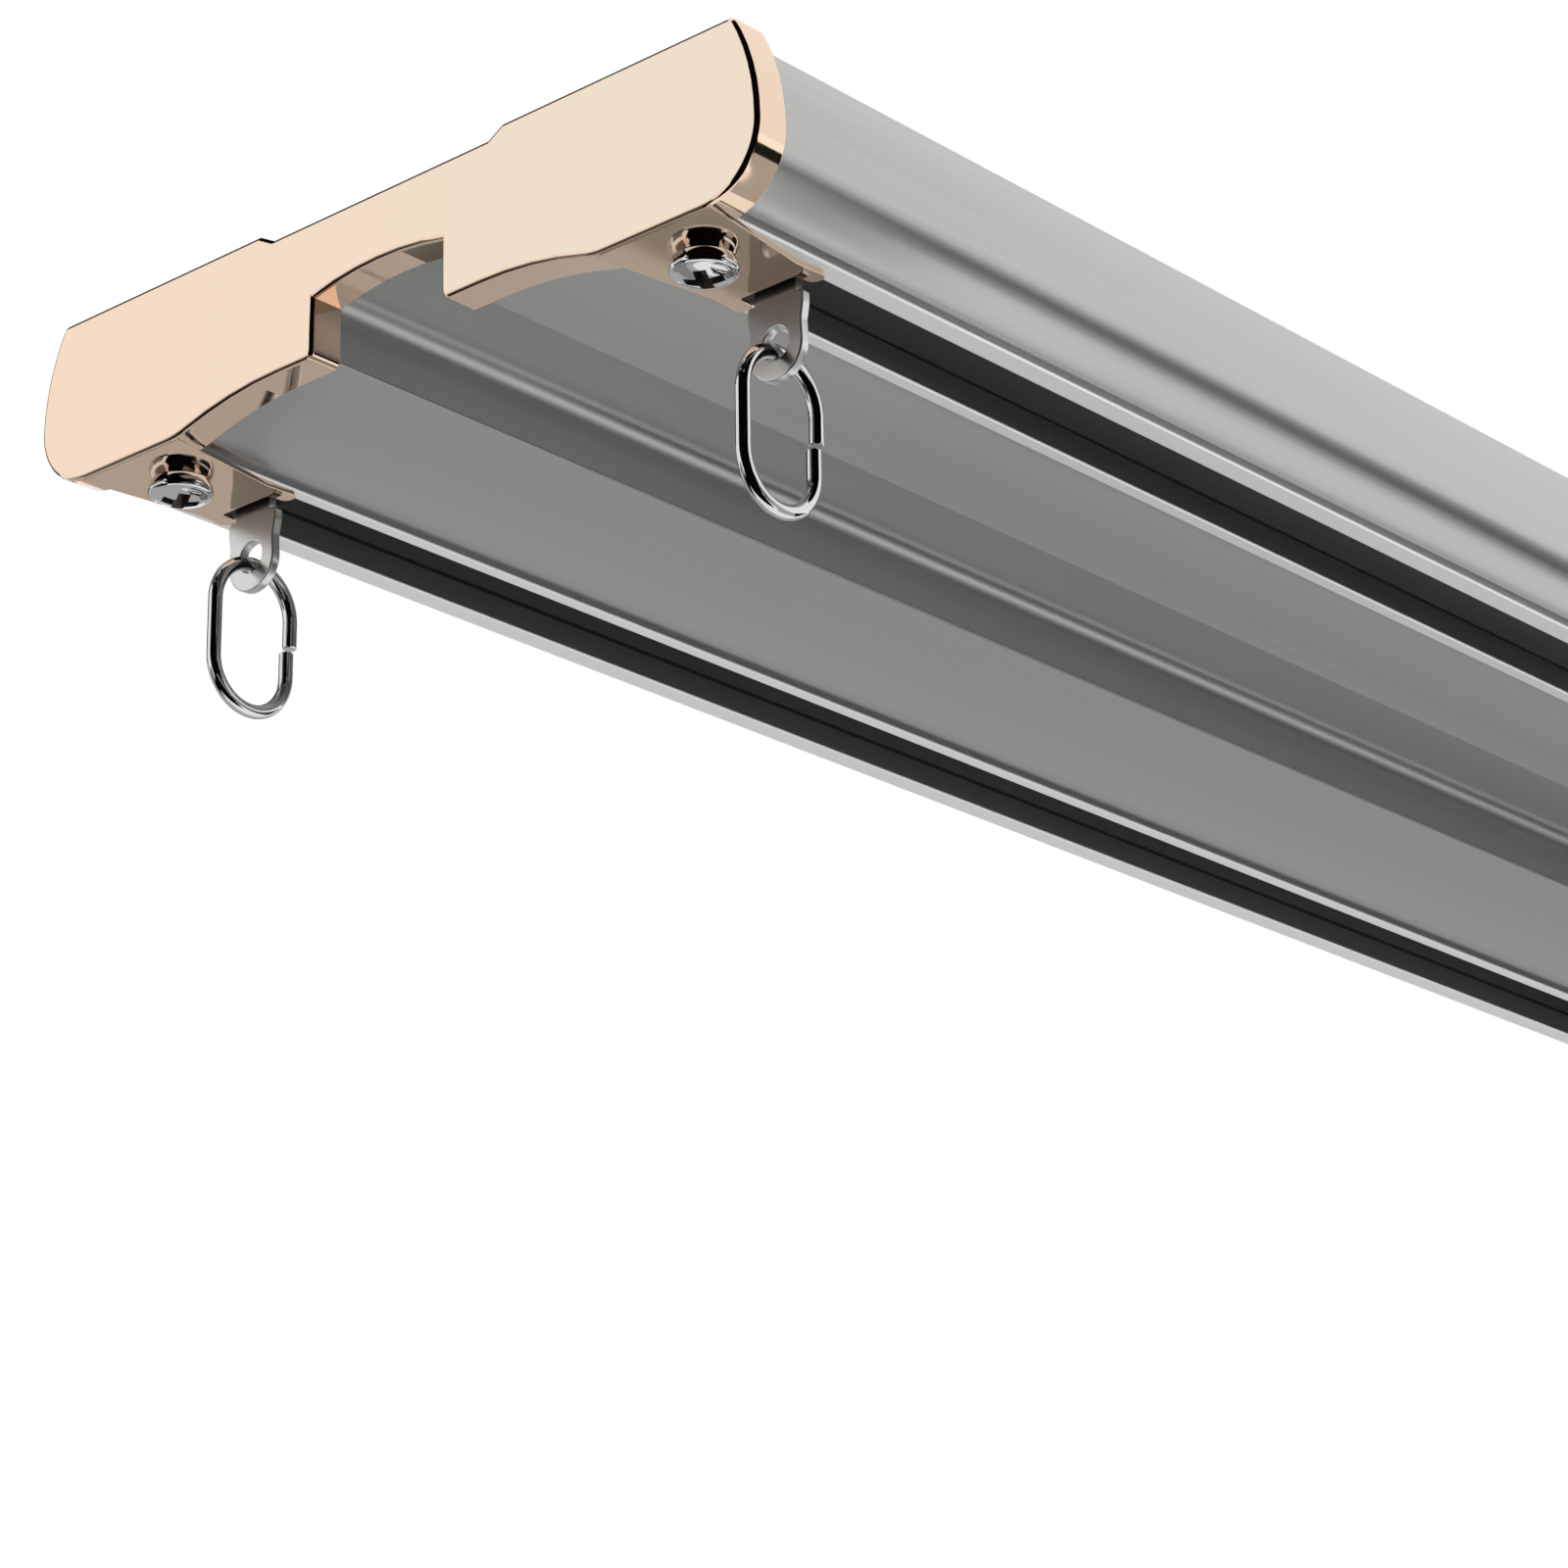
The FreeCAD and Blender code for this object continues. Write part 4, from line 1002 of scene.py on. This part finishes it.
class TRACK_OT_end_caps(bpy.types.Operator):
    """The two cast end caps"""

    bl_idname = "track.end_caps"
    bl_label = "End caps"

    def tongue(self, side):
        """Outline of the tongue under one slot, in X along the track and Y across it."""
        middle = SLOT_OFFSET * side
        sweep = TONGUE_LENGTH - TONGUE_WAIST_PLACE
        rise = TONGUE_FLARE - TONGUE_WAIST
        bow = (sweep * sweep + rise * rise) / (2 * rise)
        corners = [
            (TONGUE_ROOT, middle - TONGUE_HALF, None),
            (TONGUE_WAIST_PLACE, middle - TONGUE_WAIST, (bow, 1)),
            (TONGUE_LENGTH, middle - TONGUE_FLARE, None),
            (TONGUE_LENGTH, middle - TONGUE_NOTCH, None),
            (TONGUE_END, middle - TONGUE_NOTCH, None),
            (TONGUE_END, middle + TONGUE_NOTCH, None),
            (TONGUE_LENGTH, middle + TONGUE_NOTCH, None),
            (TONGUE_LENGTH, middle + TONGUE_FLARE, (bow, 1)),
            (TONGUE_WAIST_PLACE, middle + TONGUE_WAIST, None),
            (TONGUE_ROOT, middle + TONGUE_HALF, None),
        ]
        points = trace(corners)
        for n in (2, 3, 6, 7):
            points = soften(points, corners[n][:2], TONGUE_CORNER)
        for n in (4, 5):
            points = soften(points, corners[n][:2], NOTCH_CORNER)
        return anticlockwise(points)

    def casting(self, shape_settings):
        """One cap in its own frame: the face at X = 0, the rail towards +X."""
        bevels = (shape_settings.face_bevel, shape_settings.rim_bevel)
        outline = cap_outline(CAP_OFFSET, shape_settings.cap_corner)
        block = slab(outline, 0, CAP_DEPTH, bevels)
        block.transform(UPRIGHT)
        socket = slab(socket_outline(), FACE_WALL, CAP_DEPTH + 2)
        socket.transform(UPRIGHT)
        body = combine(block, socket, "DIFFERENCE")
        for side in (-1, 1):
            tongue = slab(self.tongue(side), TONGUE_BASE, LIP_BASE, (TONGUE_EDGE, 0))
            body = combine(body, tongue, "UNION")
            hole = circle(SCREW_PLACE, SLOT_OFFSET * side, SCREW_HOLE)
            cut = slab(hole, TONGUE_BASE - 1, LIP_BASE + 1)
            body = combine(body, cut, "DIFFERENCE")
        return body

    def execute(self, context):
        colours = context.scene.track_finish
        satin = champagne_satin(colours.cap_face, colours.cap_face_warm_light)
        bright = champagne_bright(colours.cap_rim)
        for end, turn in zip(ENDS, (0, math.pi)):
            shape = self.casting(context.scene.track_shape)
            for face in shape.faces:
                flat = face.normal.x < -0.99 and face.calc_center_median().x < 0.01
                face.material_index = 0 if flat else 1
            place = Matrix.Rotation(turn, 4, "Z") @ Matrix.Translation((-CAP_FACE, 0, 0))
            mesh = finish_mesh(shape, f"{end}_cap_casting", place)
            add_piece(f"{end}_cap_casting", mesh, "rail", [satin, bright],
                      "champagne_plate", f"{end}_end_cap")
        return {"FINISHED"}


class TRACK_OT_cap_screws(bpy.types.Operator):
    """The cross-recess screws of the caps"""

    bl_idname = "track.cap_screws"
    bl_label = "Cap screws"

    def screw(self, wall):
        """One screw, head down, its seat at height 0."""
        head, shank, height, corner = 4.0, 2.0, 3.1, 0.6
        swell, length, tip = 0.55, 7.0, 0.5
        # Pan head: a side that swells, a tight corner and a crown that bulges a little
        edge = head - corner
        rise = height - wall - corner
        crown = (edge * edge + rise * rise) / (2 * rise)
        profile = [(0, -height)]
        for n in range(1, 10):
            across = edge * n / 10
            profile.append((across, -height + crown - chord(crown, across)))
        for n in range(9):
            a = math.pi / 16 * n
            profile.append((edge + corner * math.sin(a), -wall - corner * math.cos(a)))
        for n in range(1, 6):
            t = n / 5
            profile.append((head - swell * t * t, -wall * (1 - t)))
        profile += [(shank, 0), (shank, length - 0.4), (shank - tip, length), (0, length)]
        return turned(profile)

    def cross(self):
        """The tapered cross that is cut into the head."""
        def plan(span, arm):
            quarter = [(span, -arm), (span, arm), (arm, arm)]
            points = []
            for n in range(4):
                spin = Matrix.Rotation(math.pi / 2 * n, 2)
                points += [spin @ Vector(p) for p in quarter]
            return points
        shape = bmesh.new()
        rows = []
        for level, span, arm in ((-4.0, 2.7, 0.88), (-2.8, 2.35, 0.76), (-1.5, 1.2, 0.5)):
            rows.append([shape.verts.new((p.x, p.y, level)) for p in plan(span, arm)])
        for lower, upper in zip(rows, rows[1:]):
            for n in range(len(lower)):
                shape.faces.new((lower[n - 1], lower[n], upper[n], upper[n - 1]))
        shape.faces.new(rows[0])
        shape.faces.new(rows[-1])
        bmesh.ops.recalc_face_normals(shape, faces=shape.faces)
        return shape

    def execute(self, context):
        wall = context.scene.track_shape.head_wall
        finish = chrome_plated_steel(context.scene.track_finish.chrome)
        dull = recess_painted_shade(context.scene.track_finish.recess)
        for end, way in zip(ENDS, (-1, 1)):
            pair = bmesh.new()
            for side, spin in ((-1, 0.5), (1, 1.1)):
                shape = combine(self.screw(wall), self.cross(), "DIFFERENCE")
                # Faces inside the cross recess get the dark dull material: painted shade
                for face in shape.faces:
                    middle = face.calc_center_median()
                    inside = middle.xy.length < 2.8 and -3.0 < middle.z < -0.5
                    steep = abs(face.normal.z) < 0.9 or middle.z > -1.9
                    face.material_index = 1 if inside and steep else 0
                place = Matrix.Translation(
                    ((CAP_FACE - SCREW_PLACE) * way, SLOT_OFFSET * side, TONGUE_BASE))
                shape.transform(place @ Matrix.Rotation(spin, 4, "Z"))
                part = bpy.data.meshes.new("screw")
                shape.to_mesh(part)
                shape.free()
                pair.from_mesh(part)
                bpy.data.meshes.remove(part)
            mesh = finish_mesh(pair, f"{end}_pan_screws")
            add_piece(f"{end}_pan_screws", mesh, "rail", [finish, dull], "bright_chrome",
                      f"{end}_cap_screws")
        return {"FINISHED"}


class TRACK_OT_hanger_tabs(bpy.types.Operator):
    """The pressed hanger tabs"""

    bl_idname = "track.hanger_tabs"
    bl_label = "Hanger tabs"

    def outline(self):
        """The tab across the track and upwards, from its head down to its eye."""
        bottom, eye, waist, shoulder = -33.1, 4.0, 3.85, 4.2
        neck, head, head_top, head_base = 3.1, 4.4, -13.7, -15.5
        shoulder_level = LIP_BASE - 1.4
        round_level = bottom + eye
        half = [
            (head, head_top, None),
            (head, head_base, None),
            (neck, head_base, None),
            (neck, shoulder_level, None),
            (shoulder, shoulder_level, None),
            (shoulder, shoulder_level - 1.6, None),
            (waist, shoulder_level - 3.6, None),
            (eye, round_level, (eye, 1)),
        ]
        corners = half + [(0, bottom, (eye, 1))]
        for n in reversed(range(len(half))):
            corners.append((-half[n][0], half[n][1], None))
        points = trace(corners)
        for n, radius in ((4, 0.5), (5, 1.2), (6, 1.8)):
            for side in (-1, 1):
                points = soften(points, (side * half[n][0], half[n][1]), radius)
        return anticlockwise(points)

    def execute(self, context):
        bevel = context.scene.track_shape.tab_bevel
        finish = nickel_plated_steel(context.scene.track_finish.nickel)
        half_sheet = 0.65
        eye = circle(0, -28.6, 2.0)
        for runner in RUNNERS:
            shape = slab(self.outline(), -half_sheet, half_sheet, (bevel, bevel), holes=[eye])
            mesh = finish_mesh(shape, f"{runner}_hanger_tab", over_tab(runner) @ UPRIGHT)
            add_piece(f"{runner}_hanger_tab", mesh, f"{runner}_runner", [finish],
                      "satin_steel", f"{runner}_tab")
        return {"FINISHED"}


class TRACK_OT_split_rings(bpy.types.Operator):
    """The split wire rings"""

    bl_idname = "track.split_rings"
    bl_label = "Split rings"

    def path(self):
        """Centreline of the wire from its upper end to its lower end, round the eye."""
        top_bend, bottom_bend = 6.1, 5.85
        top, bottom = -29.6, -48.8
        upper, lower = top - top_bend, bottom + bottom_bend
        split = (upper + lower) / 2
        half_cut, straight, lower_shift = 0.35, 0.6, -0.25
        lower_side = bottom_bend + lower_shift
        points = [Vector((top_bend, 0, split + rise)) for rise in (half_cut, straight)]
        for centre, level, radius, start in (
            (0, upper, top_bend, 0), (lower_shift, lower, bottom_bend, math.pi)
        ):
            for n in range(33):
                a = start + math.pi * n / 32
                points.append(Vector((
                    centre + radius * math.cos(a), 0, level + radius * math.sin(a)
                )))
        points += [Vector((lower_side, 0, split - drop)) for drop in (straight, half_cut)]
        return points

    def execute(self, context):
        radius = context.scene.track_shape.wire_radius
        finish = chrome_plated_steel(context.scene.track_finish.chrome)
        for runner in RUNNERS:
            mesh = finish_mesh(
                tube(self.path(), radius), f"{runner}_wire_ring", over_tab(runner))
            add_piece(f"{runner}_wire_ring", mesh, f"{runner}_swing", [finish],
                      "bright_chrome", f"{runner}_ring")
        return {"FINISHED"}


class TRACK_OT_wheels(bpy.types.Operator):
    """The wheels with their axles"""

    bl_idname = "track.wheels"
    bl_label = "Wheels"

    def execute(self, context):
        finish = moulded_nylon("nylon_white_moulded", context.scene.track_finish.wheel_white)
        upright = Matrix.Rotation(-math.pi / 2, 4, "X")
        inner, outer = 5.95, 9.45
        half = [
            (1.5, inner), (2.6, inner), (2.8, inner + 0.4), (4.6, inner + 0.4), (4.9, inner),
            (5.7, inner), (6.05, inner + 0.15), (6.2, inner + 0.5), (6.2, outer - 0.5),
            (6.05, outer - 0.15), (5.7, outer), (4.9, outer), (4.5, outer - 0.7),
            (3.1, outer - 0.7), (2.8, outer), (1.5, outer), (0, outer - 0.1),
        ]
        profile = [(r, -h) for r, h in reversed(half)] + half
        for runner in RUNNERS:
            low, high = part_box(f"{runner}_wheelset")
            middle = (low + high) / MM / 2
            place = Matrix.Translation(middle)
            mesh = finish_mesh(turned(profile), f"{runner}_wheels", place @ upright)
            add_piece(f"{runner}_wheels", mesh, f"{runner}_wheels", [finish],
                      "white_nylon", f"{runner}_wheelset")
        return {"FINISHED"}


class TRACK_OT_inner_pieces(bpy.types.Operator):
    """Runner blocks, running strips and clamp plates"""

    bl_idname = "track.inner_pieces"
    bl_label = "Inner pieces"

    def execute(self, context):
        colours = context.scene.track_finish
        black = moulded_nylon("nylon_black_moulded", colours.block_black)
        grey = moulded_nylon("nylon_strip_extruded", colours.strip_grey)
        zinc = zinc_plated_steel(colours.zinc)
        for runner in RUNNERS:
            round_node(f"{runner}_block", black, 0.25)
        for channel in CHANNELS:
            set_material(f"{channel}_running_strips", grey)
        for end in ENDS:
            round_node(f"{end}_clamp_plates", zinc, 0.2)
        return {"FINISHED"}


class TRACK_OT_ceiling_clips(bpy.types.Operator):
    """Ceiling clips with their levers and rivets"""

    bl_idname = "track.ceiling_clips"
    bl_label = "Ceiling clips"

    def execute(self, context):
        colours = context.scene.track_finish
        zinc = zinc_plated_steel(colours.zinc)
        nickel = nickel_plated_steel(colours.nickel)
        for end in ENDS:
            round_node(f"{end}_clip_plate", zinc, 0.3)
            round_node(f"{end}_clip_lever", zinc, 0.25)
            round_node(f"{end}_clip_rivet", nickel, 0.2)
        return {"FINISHED"}


class TRACK_PT_panel(bpy.types.Panel):
    """Lists the pieces of the curtain track"""

    bl_idname = "TRACK_PT_panel"
    bl_label = "Double curtain track"
    bl_space_type = "VIEW_3D"
    bl_region_type = "UI"
    bl_category = "Curtain track"

    def draw(self, context):
        for operator in OPERATORS:
            self.layout.operator(operator.bl_idname)
        for name in GROUPS:
            self.layout.label(text=name)
            group = getattr(context.scene, name)
            for setting in group.bl_rna.properties.keys():
                if setting not in ("rna_type", "name"):
                    self.layout.prop(group, setting)


GROUPS = {
    "track_finish": TrackFinish,
    "track_shape": TrackShape,
    "track_stage": TrackStage,
}
OPERATORS = (
    TRACK_OT_stage,
    TRACK_OT_rail,
    TRACK_OT_end_caps,
    TRACK_OT_cap_screws,
    TRACK_OT_hanger_tabs,
    TRACK_OT_split_rings,
    TRACK_OT_wheels,
    TRACK_OT_inner_pieces,
    TRACK_OT_ceiling_clips,
)


def register():
    for item in (*GROUPS.values(), *OPERATORS, TRACK_PT_panel):
        bpy.utils.register_class(item)
    for name, group in GROUPS.items():
        setattr(bpy.types.Scene, name, bpy.props.PointerProperty(type=group))


def unregister():
    for name in GROUPS:
        delattr(bpy.types.Scene, name)
    for item in reversed((*GROUPS.values(), *OPERATORS, TRACK_PT_panel)):
        bpy.utils.unregister_class(item)


def main():
    register()
    bpy.context.scene.view_settings.view_transform = "Standard"
    bpy.ops.track.stage()
    bpy.ops.track.rail()
    bpy.ops.track.end_caps()
    bpy.ops.track.cap_screws()
    bpy.ops.track.hanger_tabs()
    bpy.ops.track.split_rings()
    bpy.ops.track.wheels()
    bpy.ops.track.inner_pieces()
    bpy.ops.track.ceiling_clips()


if __name__ == "__main__":
    main()
